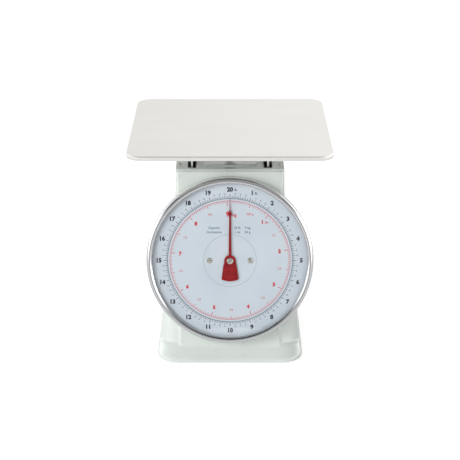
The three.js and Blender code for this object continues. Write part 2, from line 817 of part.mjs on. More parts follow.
function addFrame() {
  const inner = frameSpacing / 2 - frameGauge / 2;
  const outer = inner + frameGauge;
  const standing = rimBottom + basePlateLift + caseGauge + restGap;
  const top = bridgeBottom - restGap;
  const upright = [
    [frameFront, standing],
    [frameBack, standing],
    [frameBack, top],
    [springLine - 6, top],
    [springLine - 6, top - 10],
    [frameFront, top - 30],
  ];
  for (const [side, x] of sides) {
    const foot = block(inner - 12, inner + 1, frameFront, frameBack, standing, standing + frameGauge);
    const holes = [upperLinkHeight, lowerLinkHeight].map((z) =>
      crossBar(pinRadius + restGap, outer + 5, linkRear, z),
    );
    const piece = cut(join(sidePlate(upright, inner, outer), foot), ...holes);
    add("frame_upright_" + side, "zinc", x > 0 ? piece : mirrored(piece));
  }
  const bridge = block(-outer, outer, springLine - 6, frameFront + 2, bridgeBottom, bridgeTop);
  const screwHole = bar(screwRadius + restGap, bridgeBottom - 1, bridgeTop + 1, 0, springLine);
  add("frame_bridge", "zinc", cut(bridge, screwHole));
  const pinReach = linkArmSpacing / 2 + linkGauge / 2 + 1.5;
  add("upper_frame_pin", "screwSteel", crossBar(pinRadius, pinReach, linkRear, upperLinkHeight));
  add("lower_frame_pin", "screwSteel", crossBar(pinRadius, pinReach, linkRear, lowerLinkHeight));
}

function addZeroAdjuster() {
  const half = springSpacing / 2 + springRadius;
  const [front, back] = [springLine - crossbarHalfDepth, springLine + crossbarHalfDepth];
  const hanger = block(-half, half, front, back, hangerBottom, hangerTop);
  const hole = bar(screwRadius + restGap, hangerBottom - 1, hangerTop + 1, 0, springLine);
  add("spring_hanger", "zinc", cut(hanger, hole));
  const collar = bridgeTop + restGap;
  const knobBottom = caseTop + knobLift;
  const shaft = bar(screwRadius, hangerBottom - 6, knobBottom - restGap, 0, springLine);
  const ring = bar(screwRadius + 3, collar, collar + 2, 0, springLine);
  add("zero_screw", "screwSteel", join(shaft, ring));
  const knob = turned(
    [
      [0, knobBottom],
      [knobRadius - 0.8, knobBottom],
      [knobRadius, knobBottom + 1],
      [knobRadius, knobBottom + knobHeight - 1.5],
      [knobRadius - 1.5, knobBottom + knobHeight],
      [0, knobBottom + knobHeight],
    ],
    24,
  );
  add("zero_knob", "knobPlastic", knob.translate(0, springLine, 0));
}

// Envelope of each coil spring, clear of the hanger's adjustment
function addSprings() {
  const low = crossTop + 0.5;
  const high = hangerBottom - hangerTravel - restGap;
  for (const [side, x] of sides) {
    const tube = facing(
      turned(
        [
          [springRadius - springWire, low],
          [springRadius, low],
          [springRadius, high],
          [springRadius - springWire, high],
        ],
        16,
      ),
    );
    add("main_spring_" + side, "springSteel", tube.translate((x * springSpacing) / 2, springLine, 0));
  }
}

function addTray() {
  const top = scaleHeight;
  const ring = (z, inset) =>
    roundedRing(trayWidth / 2 - inset, inset - trayDepth / 2, trayDepth / 2 - inset, trayCorner - inset, z, 6);
  const underEdge = trayEdge - trayGauge / 2;
  const rings = [
    ring(top - trayGauge, underEdge + trayGauge),
    ring(top - trayEdge, trayGauge),
    ring(top - trayRim, trayGauge),
    ring(top - trayRim, 0),
  ];
  const steps = 3;
  for (let i = 0; i <= steps; i++) {
    const angle = (Math.PI / 2) * (i / steps);
    rings.push(ring(top - trayEdge * (1 - Math.sin(angle)), trayEdge * (1 - Math.cos(angle))));
  }
  add("platform_tray", "stainless", skin(rings));
}

addCasing();
addDial();
addMovement();
addPointer();
addLink("upper_link", upperLinkHeight);
addLink("lower_link", lowerLinkHeight);
addCarrier();
addFrame();
addZeroAdjuster();
addSprings();
addTray();

export default scale;
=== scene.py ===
import json
import math

import bmesh
import bpy
import numpy as np
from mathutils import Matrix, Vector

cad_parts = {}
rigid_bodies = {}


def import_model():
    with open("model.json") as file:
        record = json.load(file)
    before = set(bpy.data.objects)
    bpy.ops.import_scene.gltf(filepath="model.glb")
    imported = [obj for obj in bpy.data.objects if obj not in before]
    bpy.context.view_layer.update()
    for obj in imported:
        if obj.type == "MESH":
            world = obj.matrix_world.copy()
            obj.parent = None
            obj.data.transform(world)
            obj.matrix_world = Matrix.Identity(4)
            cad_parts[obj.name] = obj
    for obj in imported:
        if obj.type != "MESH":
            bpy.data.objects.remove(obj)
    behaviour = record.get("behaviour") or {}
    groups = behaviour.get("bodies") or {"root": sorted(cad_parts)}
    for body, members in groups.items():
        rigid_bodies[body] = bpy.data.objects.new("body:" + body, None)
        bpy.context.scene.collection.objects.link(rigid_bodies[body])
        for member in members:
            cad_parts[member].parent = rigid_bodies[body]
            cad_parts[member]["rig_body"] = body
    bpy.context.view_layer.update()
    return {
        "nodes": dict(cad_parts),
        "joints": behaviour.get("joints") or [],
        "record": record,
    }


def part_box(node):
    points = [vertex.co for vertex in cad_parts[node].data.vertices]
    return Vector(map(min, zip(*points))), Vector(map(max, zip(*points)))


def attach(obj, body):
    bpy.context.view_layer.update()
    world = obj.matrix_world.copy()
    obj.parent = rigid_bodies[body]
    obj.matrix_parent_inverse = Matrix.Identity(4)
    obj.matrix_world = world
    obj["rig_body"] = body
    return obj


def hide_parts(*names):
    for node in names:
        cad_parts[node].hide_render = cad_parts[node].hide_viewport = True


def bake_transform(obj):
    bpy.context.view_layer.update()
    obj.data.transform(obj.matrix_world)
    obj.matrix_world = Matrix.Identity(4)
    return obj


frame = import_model()

mm = 0.001
nodes = frame["nodes"]
joints = {joint["name"]: joint for joint in frame["joints"]}


def placed(name, data):
    thing = bpy.data.objects.new(name, data)
    bpy.context.scene.collection.objects.link(thing)
    return thing


def boxOf(node):
    # lowest and highest corner of a frame node, in millimetres
    low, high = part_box(node)
    return np.array(low) / mm, np.array(high) / mm


# the dial's own directions: X across, dialUp up its face, dialOut towards the reader
dialOut = np.array(joints["pointer_turn"]["axis"])
dialUp = np.cross(dialOut, [1, 0, 0])
dialPlace = np.array(joints["pointer_turn"]["pos_m"]) / mm
dialAxes = np.stack([[1, 0, 0], dialUp, dialOut])


def onDial(points):
    # dial millimetres to scale millimetres: centre + x across + y up the face + z out of it
    return dialPlace + np.asarray(points, float) @ dialAxes


# ---- camera

cameraSet = {
    "elevation": 22.2,
    "distance": 1692,
    "targetBelowTray": 144,
    "lens": 100.2,
}


def addCamera(s):
    trayLow, trayHigh = boxOf("platform_tray")
    middle = (trayLow + trayHigh) / 2
    tilt = math.radians(s["elevation"])
    data = bpy.data.cameras.new("camera")
    data.lens = s["lens"]
    data.sensor_width = 36
    data.clip_end = 50
    camera = placed("camera", data)
    back = s["distance"] * math.cos(tilt)
    height = trayHigh[2] - s["targetBelowTray"] + s["distance"] * math.sin(tilt)
    camera.location = np.array([0, middle[1] - back, height]) * mm
    camera.rotation_euler = (math.pi / 2 - tilt, 0, 0)
    bpy.context.scene.camera = camera


addCamera(cameraSet)
print("camera placed")


# ---- materials


def linear(colour):
    # sRGB hex to linear values
    parts = [int(colour[i : i + 2], 16) / 255 for i in (1, 3, 5)]
    return [p / 12.92 if p <= 0.04045 else ((p + 0.055) / 1.055) ** 2.4 for p in parts] + [1]


def addNode(tree, kind, links=None, values=None, **settings):
    node = tree.nodes.new("ShaderNode" + kind)
    for name, value in settings.items():
        setattr(node, name, value)
    for name, value in (values or {}).items():
        node.inputs[name].default_value = value
    for name, source in (links or {}).items():
        tree.links.new(source, node.inputs[name])
    return node


def startMaterial(name, colour, **values):
    material = bpy.data.materials.new(name)
    material.use_nodes = True
    tree = material.node_tree
    tree.nodes.clear()
    shader = addNode(tree, "BsdfPrincipled", values={"Base Color": linear(colour)})
    for key, value in values.items():
        shader.inputs[key.replace("_", " ")].default_value = value
    addNode(tree, "OutputMaterial", links={"Surface": shader.outputs[0]})
    place = addNode(tree, "TexCoord").outputs["Object"]
    return material, shader, place


def noise(place, size, detail=2, stretch=(1, 1, 1)):
    # size is that of one patch in millimetres; stretch lengthens it along each axis
    tree = place.id_data
    scaled = [1 / (size * mm * k) for k in stretch]
    mapping = addNode(tree, "Mapping", {"Vector": place}, {"Scale": scaled})
    values = {"Scale": 1.0, "Detail": detail}
    return addNode(tree, "TexNoise", {"Vector": mapping.outputs[0]}, values).outputs["Fac"]


def spread(source, low, high, dark, light):
    # a value between low and high becomes one between dark and light
    values = {"From Min": low, "From Max": high, "To Min": dark, "To Max": light}
    return addNode(source.id_data, "MapRange", {"Value": source}, values).outputs[0]


def calculate(operation, first, second=None):
    # a maths node on one socket, or on a socket and a second socket or number
    links, values = {0: first}, {}
    if isinstance(second, float):
        values[1] = second
    elif second is not None:
        links[1] = second
    return addNode(first.id_data, "Math", links, values, operation=operation).outputs[0]


def tint(shader, source, first, second):
    tree = shader.id_data
    mix = addNode(tree, "Mix", {0: source}, {6: linear(first), 7: linear(second)}, data_type="RGBA")
    tree.links.new(mix.outputs[2], shader.inputs["Base Color"])


def cloudTint(shader, source, first, second):
    tint(shader, spread(source, 0.35, 0.65, 0, 1), first, second)


def roughen(shader, source, low, high, smooth, dull):
    shader.id_data.links.new(spread(source, low, high, smooth, dull), shader.inputs["Roughness"])


def bump(shader, source, depth, strength=1.0):
    # depth in millimetres
    tree = shader.id_data
    node = addNode(tree, "Bump", {"Height": source}, {"Strength": strength, "Distance": depth * mm})
    tree.links.new(node.outputs[0], shader.inputs["Normal"])


def stovedEnamel():
    # stoved enamel on pressed steel: a glossy coat with a soft orange peel and faint cloudiness
    material, shader, place = startMaterial(
        "stoved_enamel", "#cad0cc", Roughness=0.32, Coat_Weight=0.6, Coat_Roughness=0.06, IOR=1.52
    )
    cloudTint(shader, noise(place, 45), "#c7cec9", "#cdd3cf")
    # orange peel is about 1.5 mm across on a stoved coat
    bump(shader, noise(place, 1.6, 1), 0.006)
    roughen(shader, noise(place, 9, 4), 0.3, 0.7, 0.26, 0.38)
    return material


def satinStainless():
    # satin stainless sheet: fine rolled grain across the tray, so its gloss is wide and soft
    material, shader, place = startMaterial("satin_stainless", "#dcdad5", Metallic=1, Roughness=0.36)
    # the real grain is 0.05 mm wide; it is drawn 0.35 mm wide so that it shows
    grain = noise(place, 0.35, 4, (90, 1, 1))
    cloudTint(shader, noise(place, 30, 3, (3, 1, 1)), "#e4e2de", "#e6e4e0")
    roughen(shader, grain, 0.25, 0.75, 0.3, 0.43)
    bump(shader, grain, 0.004, 0.6)
    return material


def chromePlate():
    # decorative chrome over nickel: a near mirror with hairline polishing marks
    material, shader, place = startMaterial("chrome_plate", "#c3c4c6", Metallic=1, Roughness=0.05)
    roughen(shader, noise(place, 14, 4), 0.35, 0.7, 0.035, 0.1)
    bump(shader, noise(place, 5, 2), 0.004)
    return material


def dialPaint():
    # screen-printed aluminium dial: matt bluish white ground coat
    material, shader, place = startMaterial("dial_ground_coat", "#d9e1ea", Roughness=0.55, IOR=1.48)
    cloudTint(shader, noise(place, 35, 3), "#d6dfe9", "#dbe3eb")
    bump(shader, noise(place, 0.5, 2), 0.003)
    return material


def printingInk(name, colour, second):
    # screen ink: matt, laid a little unevenly over the ground coat
    material, shader, place = startMaterial(name, colour, Roughness=0.5, IOR=1.48)
    tint(shader, spread(noise(place, 1.2, 3), 0.4, 0.7, 0, 1), colour, second)
    return material


def pointerEnamel():
    # air-drying enamel on stamped aluminium: dark red, half gloss
    material, shader, place = startMaterial(
        "pointer_enamel", "#95081a", Roughness=0.45, Coat_Weight=0.05, Coat_Roughness=0.15, IOR=1.3
    )
    cloudTint(shader, noise(place, 6, 3), "#900512", "#a20a18")
    bump(shader, noise(place, 0.8, 1), 0.004)
    return material


def pressedGlass():
    # pressed soda glass: clear, very smooth, lamps shine straight through it
    material, shader, place = startMaterial(
        "pressed_glass", "#ffffff", Roughness=0.0, IOR=1.45, Transmission_Weight=1
    )
    bump(shader, noise(place, 30, 1), 0.01)
    tree = shader.id_data
    output = next(n for n in tree.nodes if n.type == "OUTPUT_MATERIAL")
    clear = addNode(tree, "BsdfTransparent", values={"Color": linear("#f4f8f8")})
    ray = addNode(tree, "LightPath")
    both = {0: ray.outputs["Is Shadow Ray"], 1: shader.outputs[0], 2: clear.outputs[0]}
    mix = addNode(tree, "MixShader", both)
    tree.links.new(mix.outputs[0], output.inputs["Surface"])
    return material


def mouldedRubber():
    # moulded black rubber: dull, finely pitted, greyed by handling
    material, shader, place = startMaterial("moulded_rubber", "#232323", Roughness=0.8, IOR=1.5)
    tint(shader, noise(place, 3, 4), "#1b1b1b", "#323130")
    bump(shader, noise(place, 0.4, 3), 0.02)
    return material


def zincPlate():
    # bright zinc plate on pressed steel: cool grey with soft cloudy crystals
    material, shader, place = startMaterial("zinc_plate", "#b9bbba", Metallic=1, Roughness=0.35)
    cell = addNode(shader.id_data, "TexVoronoi", {"Vector": place}, {"Scale": 1 / (2.5 * mm)})
    crystal = spread(cell.outputs["Color"], 0, 1, 0, 1)
    tint(shader, crystal, "#c3c6c7", "#dddedb")
    roughen(shader, noise(place, 1.5, 4), 0.3, 0.7, 0.26, 0.46)
    bump(shader, noise(place, 0.6, 3), 0.004)
    return material


def rolledBrass():
    # rolled clock brass: warm yellow with a long rolling grain and slight tarnish
    material, shader, place = startMaterial("rolled_brass", "#c7a45c", Metallic=1, Roughness=0.3)
    grain = noise(place, 0.3, 4, (1, 1, 60))
    tint(shader, noise(place, 7, 4), "#ab8442", "#d5b56c")
    roughen(shader, grain, 0.3, 0.7, 0.22, 0.4)
    bump(shader, grain, 0.003)
    return material


def springWire():
    # patented spring wire, lightly oiled: dark grey with a drawn surface
    material, shader, place = startMaterial("spring_wire", "#8b8e91", Metallic=1, Roughness=0.3)
    tint(shader, noise(place, 1.5, 4), "#6f7276", "#9da0a2")
    bump(shader, noise(place, 0.3, 2), 0.005)
    return material


def nickelSteel():
    # nickel plated turned steel: bright and slightly warm, with turning marks
    material, shader, place = startMaterial("nickel_plated_steel", "#cbc9c2", Metallic=1, Roughness=0.22)
    tint(shader, noise(place, 2, 4), "#bdbab2", "#d6d4ce")
    roughen(shader, noise(place, 0.5, 3), 0.3, 0.7, 0.14, 0.32)
    return material


def phenolicKnob():
    # moulded black phenolic: a hard half gloss with a fine mottle
    material, shader, place = startMaterial("phenolic_knob", "#1d1f20", Roughness=0.38, IOR=1.6)
    tint(shader, noise(place, 1.2, 5), "#17191a", "#2a2c2d")
    bump(shader, noise(place, 0.5, 2), 0.006)
    return material


finishes = {
    "enamel": stovedEnamel(),
    "stainless": satinStainless(),
    "chrome": chromePlate(),
    "dial_paint": dialPaint(),
    "pointer_paint": pointerEnamel(),
    "glass": pressedGlass(),
    "rubber": mouldedRubber(),
    "zinc": zincPlate(),
    "brass": rolledBrass(),
    "spring_steel": springWire(),
    "screw_steel": nickelSteel(),
    "knob_plastic": phenolicKnob(),
}
inks = {
    "black": printingInk("black_ink", "#1c2430", "#27303d"),
    "grey": printingInk("grey_ink", "#70879a", "#7b90a2"),
    "red": printingInk("red_ink", "#d8222f", "#e0333e"),
}
slotOf = {part["node"]: part["material_slot"] for part in frame["record"]["subparts"]}
for name, node in nodes.items():
    node.data.materials.clear()
    node.data.materials.append(finishes[slotOf[name]])
print("materials made")


# ---- meshes


def gridFaces(rows, columns, wrapRows=False, wrapColumns=True):
    # quads between neighbouring points of a grid, round its ends where it wraps
    i = np.arange(rows if wrapRows else rows - 1)[:, None]
    j = np.arange(columns if wrapColumns else columns - 1)[None, :]
    below, above = i * columns, (i + 1) % rows * columns
    right = (j + 1) % columns
    return np.stack([below + j, below + right, above + right, above + j], -1).reshape(-1, 4)


def tidyMesh(mesh, merge=1e-6):
    # doubles merged, then faces turned outwards
    work = bmesh.new()
    work.from_mesh(mesh)
    bmesh.ops.remove_doubles(work, verts=work.verts, dist=merge)
    bmesh.ops.dissolve_degenerate(work, dist=1e-8, edges=work.edges)
    bmesh.ops.recalc_face_normals(work, faces=work.faces)
    work.to_mesh(mesh)
    work.free()


def cappedFaces(rows, columns):
    # a tube's quads with one many-sided face closing each end
    last = (rows - 1) * columns
    caps = [list(range(columns))[::-1], list(range(last, last + columns))]
    return gridFaces(rows, columns).tolist() + caps


def smoothShade(mesh, smooth=35):
    # smooth across edges flatter than this many degrees
    mesh.shade_smooth()
    mesh.set_sharp_from_angle(angle=math.radians(smooth))


def plainPiece(name, points, faces, finish, merge=1e-6):
    # flat shaded, from points in millimetres and lists of corner numbers
    mesh = bpy.data.meshes.new(name)
    mesh.from_pydata((np.asarray(points).reshape(-1, 3) * mm).tolist(), [], faces)
    tidyMesh(mesh, merge)
    mesh.materials.append(finish)
    return placed(name, mesh)


def newPiece(name, points, faces, finish, smooth=35):
    faces = faces if isinstance(faces, list) else faces.tolist()
    piece = plainPiece(name, points, faces, finish)
    smoothShade(piece.data, smooth)
    return piece


def verticesOf(mesh):
    co = np.zeros(len(mesh.vertices) * 3, np.float32)
    mesh.vertices.foreach_get("co", co)
    return co.reshape(-1, 3)


def settle(piece, body):
    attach(piece, body)


def standFor(piece, node):
    settle(piece, nodes[node]["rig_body"])
    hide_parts(node)


def modify(piece, kind, **settings):
    modifier = piece.modifiers.new(kind.lower(), kind)
    for name, value in settings.items():
        setattr(modifier, name, value)


def turned(profile, around=96):
    # a profile of [radius, height] turned about Z: x = r cos a, y = r sin a
    profile = np.asarray(profile, float)
    angle = np.linspace(0, 2 * math.pi, around, endpoint=False)[None, :]
    r, z = profile[:, :1], profile[:, 1:]
    return np.stack([r * np.cos(angle), r * np.sin(angle), z + 0 * angle], -1)


def turnedFaces(points, closed=False):
    return gridFaces(*points.shape[:2], wrapRows=closed)


def standTurned(name, node, points, finish, smooth, closed=False):
    # a turned shape in place of a node; closed joins the profile's last point to its first
    standFor(newPiece(name, points, turnedFaces(points, closed), finishes[finish], smooth), node)


def arc(centre, radius, start, end, steps):
    # points [r, z] of an arc, angles in degrees from the radius direction
    a = np.radians(np.linspace(start, end, steps + 1))
    return np.stack([centre[0] + radius * np.cos(a), centre[1] + radius * np.sin(a)], -1).tolist()


def roundedRing(halfX, front, back, radius, z, steps, flats=0):
    # rectangle rings with round corners, one per row of the size arrays; flats adds points to the
    # front side next to its corners, 1.5 mm apart
    angle = np.concatenate([np.linspace(s, s + 90, steps + 1) for s in (-90, 0, 90, 180)])
    angle = np.radians(angle)[None, :]
    signX = np.repeat([1, 1, -1, -1], steps + 1)[None, :]
    isBack = np.repeat([0, 1, 1, 0], steps + 1)[None, :]
    sizes = (halfX, front, back, radius, z)
    halfX, front, back, radius, z = (np.asarray(size, float).reshape(-1, 1) for size in sizes)
    x = signX * (halfX - radius) + radius * np.cos(angle)
    y = np.where(isBack, back - radius, front + radius) + radius * np.sin(angle)
    if flats:
        away = 1.5 * np.arange(flats, 0, -1)[None, :]
        right, left = x[:, :1] - away, x[:, -1:] + away[:, ::-1]
        x = np.concatenate([right, x, left], 1)
        y = np.concatenate([front + 0 * right, y, front + 0 * left], 1)
    return np.stack([x, y, z + 0 * x], -1)


def roundCorners(gx, gy, halfX, halfY, r):
    # a grid's square corners pulled onto arcs: a' = a sqrt(1 - b^2 / 2) within each corner square
    a = np.clip((np.abs(gx) - (halfX - r)) / r, 0, 1)
    b = np.clip((np.abs(gy) - (halfY - r)) / r, 0, 1)
    px = np.sign(gx) * (np.minimum(np.abs(gx), halfX - r) + r * a * np.sqrt(1 - b * b / 2))
    py = np.sign(gy) * (np.minimum(np.abs(gy), halfY - r) + r * b * np.sqrt(1 - a * a / 2))
    return px, py


def bevelledCopy(node, width):
    # the frame's own shape with its edges broken
    mesh = nodes[node].data.copy()
    work = bmesh.new()
    work.from_mesh(mesh)
    bmesh.ops.remove_doubles(work, verts=work.verts, dist=1e-6)
    limit = math.radians(1)
    bmesh.ops.dissolve_limit(work, angle_limit=limit, verts=work.verts, edges=work.edges)
    work.to_mesh(mesh)
    work.free()
    smoothShade(mesh)
    piece = placed(node + "_finished", mesh)
    modify(piece, "BEVEL", width=width * mm, segments=2, limit_method="ANGLE",
           angle_limit=math.radians(40), harden_normals=True)
    standFor(piece, node)


# ---- casing

shellSet = {
    "gauge": 1.2,
    "topHalfWidth": 68.5,
    "topHalfDepth": 50,
    "topCorner": 5,
    "baseCorner": 27,
    "neckDrop": 28.6,
    "neckSoftness": 7,
    "skirtHeight": 15,
    "skirtStep": 14,
    "rimHeight": 4,
    "creaseSoftness": 2.2,
    "rimSoftness": 1.4,
    "flange": 5.5,
    "topEdge": 0.7,
    "coverRise": 2.4,
    "leastCorner": 0.8,
    "panelHalfWidth": 67,
    "panelStep": 4.5,
    "panelEdge": 4.5,
}


def softHinge(x, softness):
    # max(0, x) with its corner rounded: (x + sqrt(x^2 + s^2)) / 2
    return (x + np.sqrt(x * x + softness * softness)) / 2


def stepUp(x, start, width):
    # smooth step from 0 to 1 over a width
    t = np.clip((x - start) / width, 0, 1)
    return t * t * (3 - 2 * t)


def caseRings(z, inset, s):
    # casing section at heights z: straight upright neck, then a linear flare; the front leans and
    # its skirt steps forward below the crease, each bend softened
    low, high = boxOf("body_shell")
    z = np.asarray(z, float)
    inset = np.asarray(inset, float)
    trayLow, trayHigh = boxOf("platform_tray")
    middle = (trayLow[1] + trayHigh[1]) / 2
    neck = high[2] - s["neckDrop"]
    rimTop = low[2] + s["rimHeight"]
    reach = neck - rimTop
    flare = (softHinge(neck - z, s["neckSoftness"]) - softHinge(rimTop - z, s["rimSoftness"])) / reach
    halfX = s["topHalfWidth"] + (high[0] - s["topHalfWidth"]) * flare
    radius = s["topCorner"] + (s["baseCorner"] - s["topCorner"]) * flare
    top = high[2] + s["coverRise"]
    crease = low[2] + s["skirtHeight"]
    slope = s["skirtStep"] / (crease - rimTop)
    out = slope * (softHinge(crease - z, s["creaseSoftness"]) - softHinge(rimTop - z, s["rimSoftness"]))
    lean = dialOut[2] / -dialOut[1]
    panel = middle - s["topHalfDepth"] - (top - z) * lean
    hold = softHinge(crease - z, s["creaseSoftness"]) * lean
    front = panel + hold - out
    backTop = middle + s["topHalfDepth"]
    back = backTop + (high[1] - backTop) * flare
    corner = np.maximum(radius - inset, s["leastCorner"])
    ring = roundedRing(halfX - inset, front + inset, back - inset, corner, z, steps=24, flats=5)
    # the front is a flat raised panel; beyond its edge the flared body stands a step further back
    beyond = stepUp(np.abs(ring[..., 0]), s["panelHalfWidth"] - s["panelEdge"], s["panelEdge"])
    above = stepUp(z, crease, 4) * stepUp(halfX, s["topHalfWidth"], 5)
    ring[..., 1] += s["panelStep"] * beyond * above[:, None] * (ring[..., 1] < 0)
    return ring


def addBodyShell(s):
    low, high = boxOf("body_shell")
    rimTop = low[2] + s["rimHeight"]
    crease = low[2] + s["skirtHeight"]
    neck = high[2] - s["neckDrop"]
    heights = np.concatenate([
        np.linspace(low[2] + 0.6, rimTop + 4, 12),
        np.linspace(rimTop + 5, crease + 8, 14),
        np.linspace(crease + 14, neck - 22, 14),
        np.linspace(neck - 18, neck + 18, 12),
        [high[2] - s["topEdge"]],
    ])
    bend = np.radians([30, 60, 90])
    gauge, flange = s["gauge"], s["flange"]
    # up the outside with a softened foot, over the top bend, in along the flange and down the inside
    z = [[low[2] + 0.1, low[2] + 0.25], heights, high[2] - s["topEdge"] + s["topEdge"] * np.sin(bend)]
    inset = [[0.5, 0.1], 0 * heights, s["topEdge"] * (1 - np.cos(bend))]
    under = high[2] - gauge
    z += [[high[2], under, under], heights[::-1][1:], [low[2] + 0.25, low[2]]]
    inset += [[flange, flange, gauge], 0 * heights[1:] + gauge, [gauge - 0.1, gauge - 0.5]]
    z, inset = np.concatenate(z), np.concatenate(inset)
    points = caseRings(z, inset, s)
    faces = gridFaces(*points.shape[:2], wrapRows=True)
    piece = newPiece("casing_shell", points, faces, finishes["enamel"], 30)
    standFor(piece, "body_shell")


addBodyShell(shellSet)

coverSet = {
    "corner": 5,
    "cornerSteps": (0, 1.5, 3, 5),
    "edge": 0.9,
    "slotWidth": 10.5,
    "slotSpacing": 96,
    "slotHalfLength": 43,
    "panelHalfWidth": 33.5,
    "beadFront": 39.4,
    "beadBack": 25,
    "panelRise": 0.9,
    "panelSlope": 1.6,
    "holeHalf": 4,
    "holeLine": -15,
}


def addTopCover(s):
    low, high = boxOf("top_cover")
    half = (high - low) / 2
    middle = (high + low) / 2
    slotIn = s["slotSpacing"] / 2 - s["slotWidth"] / 2
    slotOut = slotIn + s["slotWidth"]
    w, f, b, e = s["panelHalfWidth"], s["beadFront"], s["beadBack"], s["panelSlope"]
    hole, holeLine = s["holeHalf"], s["holeLine"]
    # grid lines along every edge, closer together in the corners
    side = [0, 2, hole, 12, 24, w - e, w - e / 2, w, w + 0.5, slotIn, slotOut]
    side += [half[0] - step for step in s["cornerSteps"]]
    x = np.array(sorted({-v for v in side} | set(side)))
    ends = [s["slotHalfLength"], f, f - e / 2, f - e, b, b + e / 2, b + e]
    ends += [half[1] - step for step in s["cornerSteps"]]
    y = np.array(sorted({-v for v in ends} | set(ends) | {holeLine - hole, holeLine + hole, 0, 10}))
    gx, gy = np.meshgrid(x, y)
    # a raised bead between the slots, near the front and near the back
    inside = stepUp(w - np.abs(gx), 0, e) * stepUp(np.abs(gy), b, e) * stepUp(-np.abs(gy), -f, e)
    rise = s["panelRise"] * inside
    px, py = roundCorners(gx, gy, half[0], half[1], s["corner"])
    points = np.stack([px + middle[0], py + middle[1], high[2] + rise], -1)
    faces = gridFaces(len(y), len(x), wrapColumns=False)
    cx, cy = (points.reshape(-1, 3)[faces].mean(1) - middle)[:, :2].T
    inSlot = (np.abs(cx) > slotIn) & (np.abs(cx) < slotOut) & (np.abs(cy) < s["slotHalfLength"])
    inHole = (np.abs(cx) < hole) & (np.abs(cy - holeLine) < hole)
    piece = newPiece("casing_top_cover", points, faces[~(inSlot | inHole)], finishes["enamel"], 40)
    modify(piece, "SOLIDIFY", thickness=(high[2] - low[2]) * mm, offset=-1)
    modify(piece, "BEVEL", width=s["edge"] * mm, segments=3, limit_method="ANGLE",
           angle_limit=math.radians(60))
    standFor(piece, "top_cover")


addTopCover(coverSet)

rearCoverSet = {
    "corner": 6,
    "nodeGauge": 1.2,
    "gauge": 1.1,
    "margin": 0.1,
    "slots": 9,
    "slotPitch": 7,
    "slotHalf": 26,
    "slotRise": 1.6,
    "slotWidth": 3.2,
    "slotEnd": 4,
}


def rearDirections(s):
    # up and out of the leaning rear wall, from the cover's box less its gauge
    low, high = boxOf("rear_cover")
    lean = math.atan2(high[1] - low[1] - s["nodeGauge"], high[2] - low[2])
    return np.array([0, -math.sin(lean), math.cos(lean)]), np.array([0, math.cos(lean), math.sin(lean)])


def addRearCover(s):
    # a flat panel with a field of pressed louvres, lying on the rear wall
    low, high = boxOf("rear_cover")
    up, out = rearDirections(s)
    halfX = (high[0] - low[0]) / 2
    halfY = (high[2] - low[2]) / up[2] / 2 - s["margin"]
    rows = np.linspace(-halfY, halfY, 161)
    columns = np.linspace(-halfX, halfX, 61)
    gx, gy = np.meshgrid(columns, rows)
    # each louvre rises evenly across its width, then drops back to the panel
    phase = (gy + s["slots"] * s["slotPitch"] / 2) / s["slotPitch"]
    count = np.floor(phase)
    local = (phase - count) * s["slotPitch"]
    on = (count >= 0) & (count < s["slots"])
    blade = np.clip(local / s["slotWidth"], 0, 1) * (local < s["slotWidth"])
    ends = stepUp(s["slotHalf"] - np.abs(gx), 0, s["slotEnd"])
    z = np.where(on, s["slotRise"] * blade * ends, 0)
    px, py = roundCorners(gx, gy, halfX, halfY, s["corner"])
    centre = (low + high) / 2 + out * s["gauge"] / 2
    points = centre + px[..., None] * [1, 0, 0] + py[..., None] * up + z[..., None] * out
    faces = gridFaces(len(rows), len(columns), wrapColumns=False)[:, ::-1]
    piece = newPiece("casing_rear_cover", points, faces, finishes["enamel"], 30)
    modify(piece, "SOLIDIFY", thickness=s["gauge"] * mm, offset=-1)
    standFor(piece, "rear_cover")


addRearCover(rearCoverSet)
bevelledCopy("base_plate", 0.4)

footSet = {"groove": 0.5, "hollow": 3, "hollowDepth": 0.5}


def addFoot(node, s):
    low, high = boxOf(node)
    middle = (low + high) / 2
    r, h = (high[0] - low[0]) / 2, high[2]
    profile = [[0, s["hollowDepth"]], [s["hollow"], s["hollowDepth"]], [s["hollow"] + 0.4, 0]]
    profile += [[r - 1, 0]] + arc((r - 1, 0.9), 0.9, -80, 0, 5)
    profile += [[r - 0.2, h * 0.5], [r - s["groove"] - 0.2, h * 0.6], [r - 0.3, h * 0.7]]
    profile += arc((r - 1.1, h - 0.7), 0.7, 10, 90, 4) + [[0, h]]
    points = turned(profile, 48) + [middle[0], middle[1], 0]
    standTurned(node + "_moulding", node, points, "rubber", 40)


for name in nodes:
    if name.startswith("foot_"):
        addFoot(name, footSet)
print("casing made")


# ---- screws

screwSet = {"slotWidth": 0.2, "slotDepth": 0.45, "crown": 0.55}


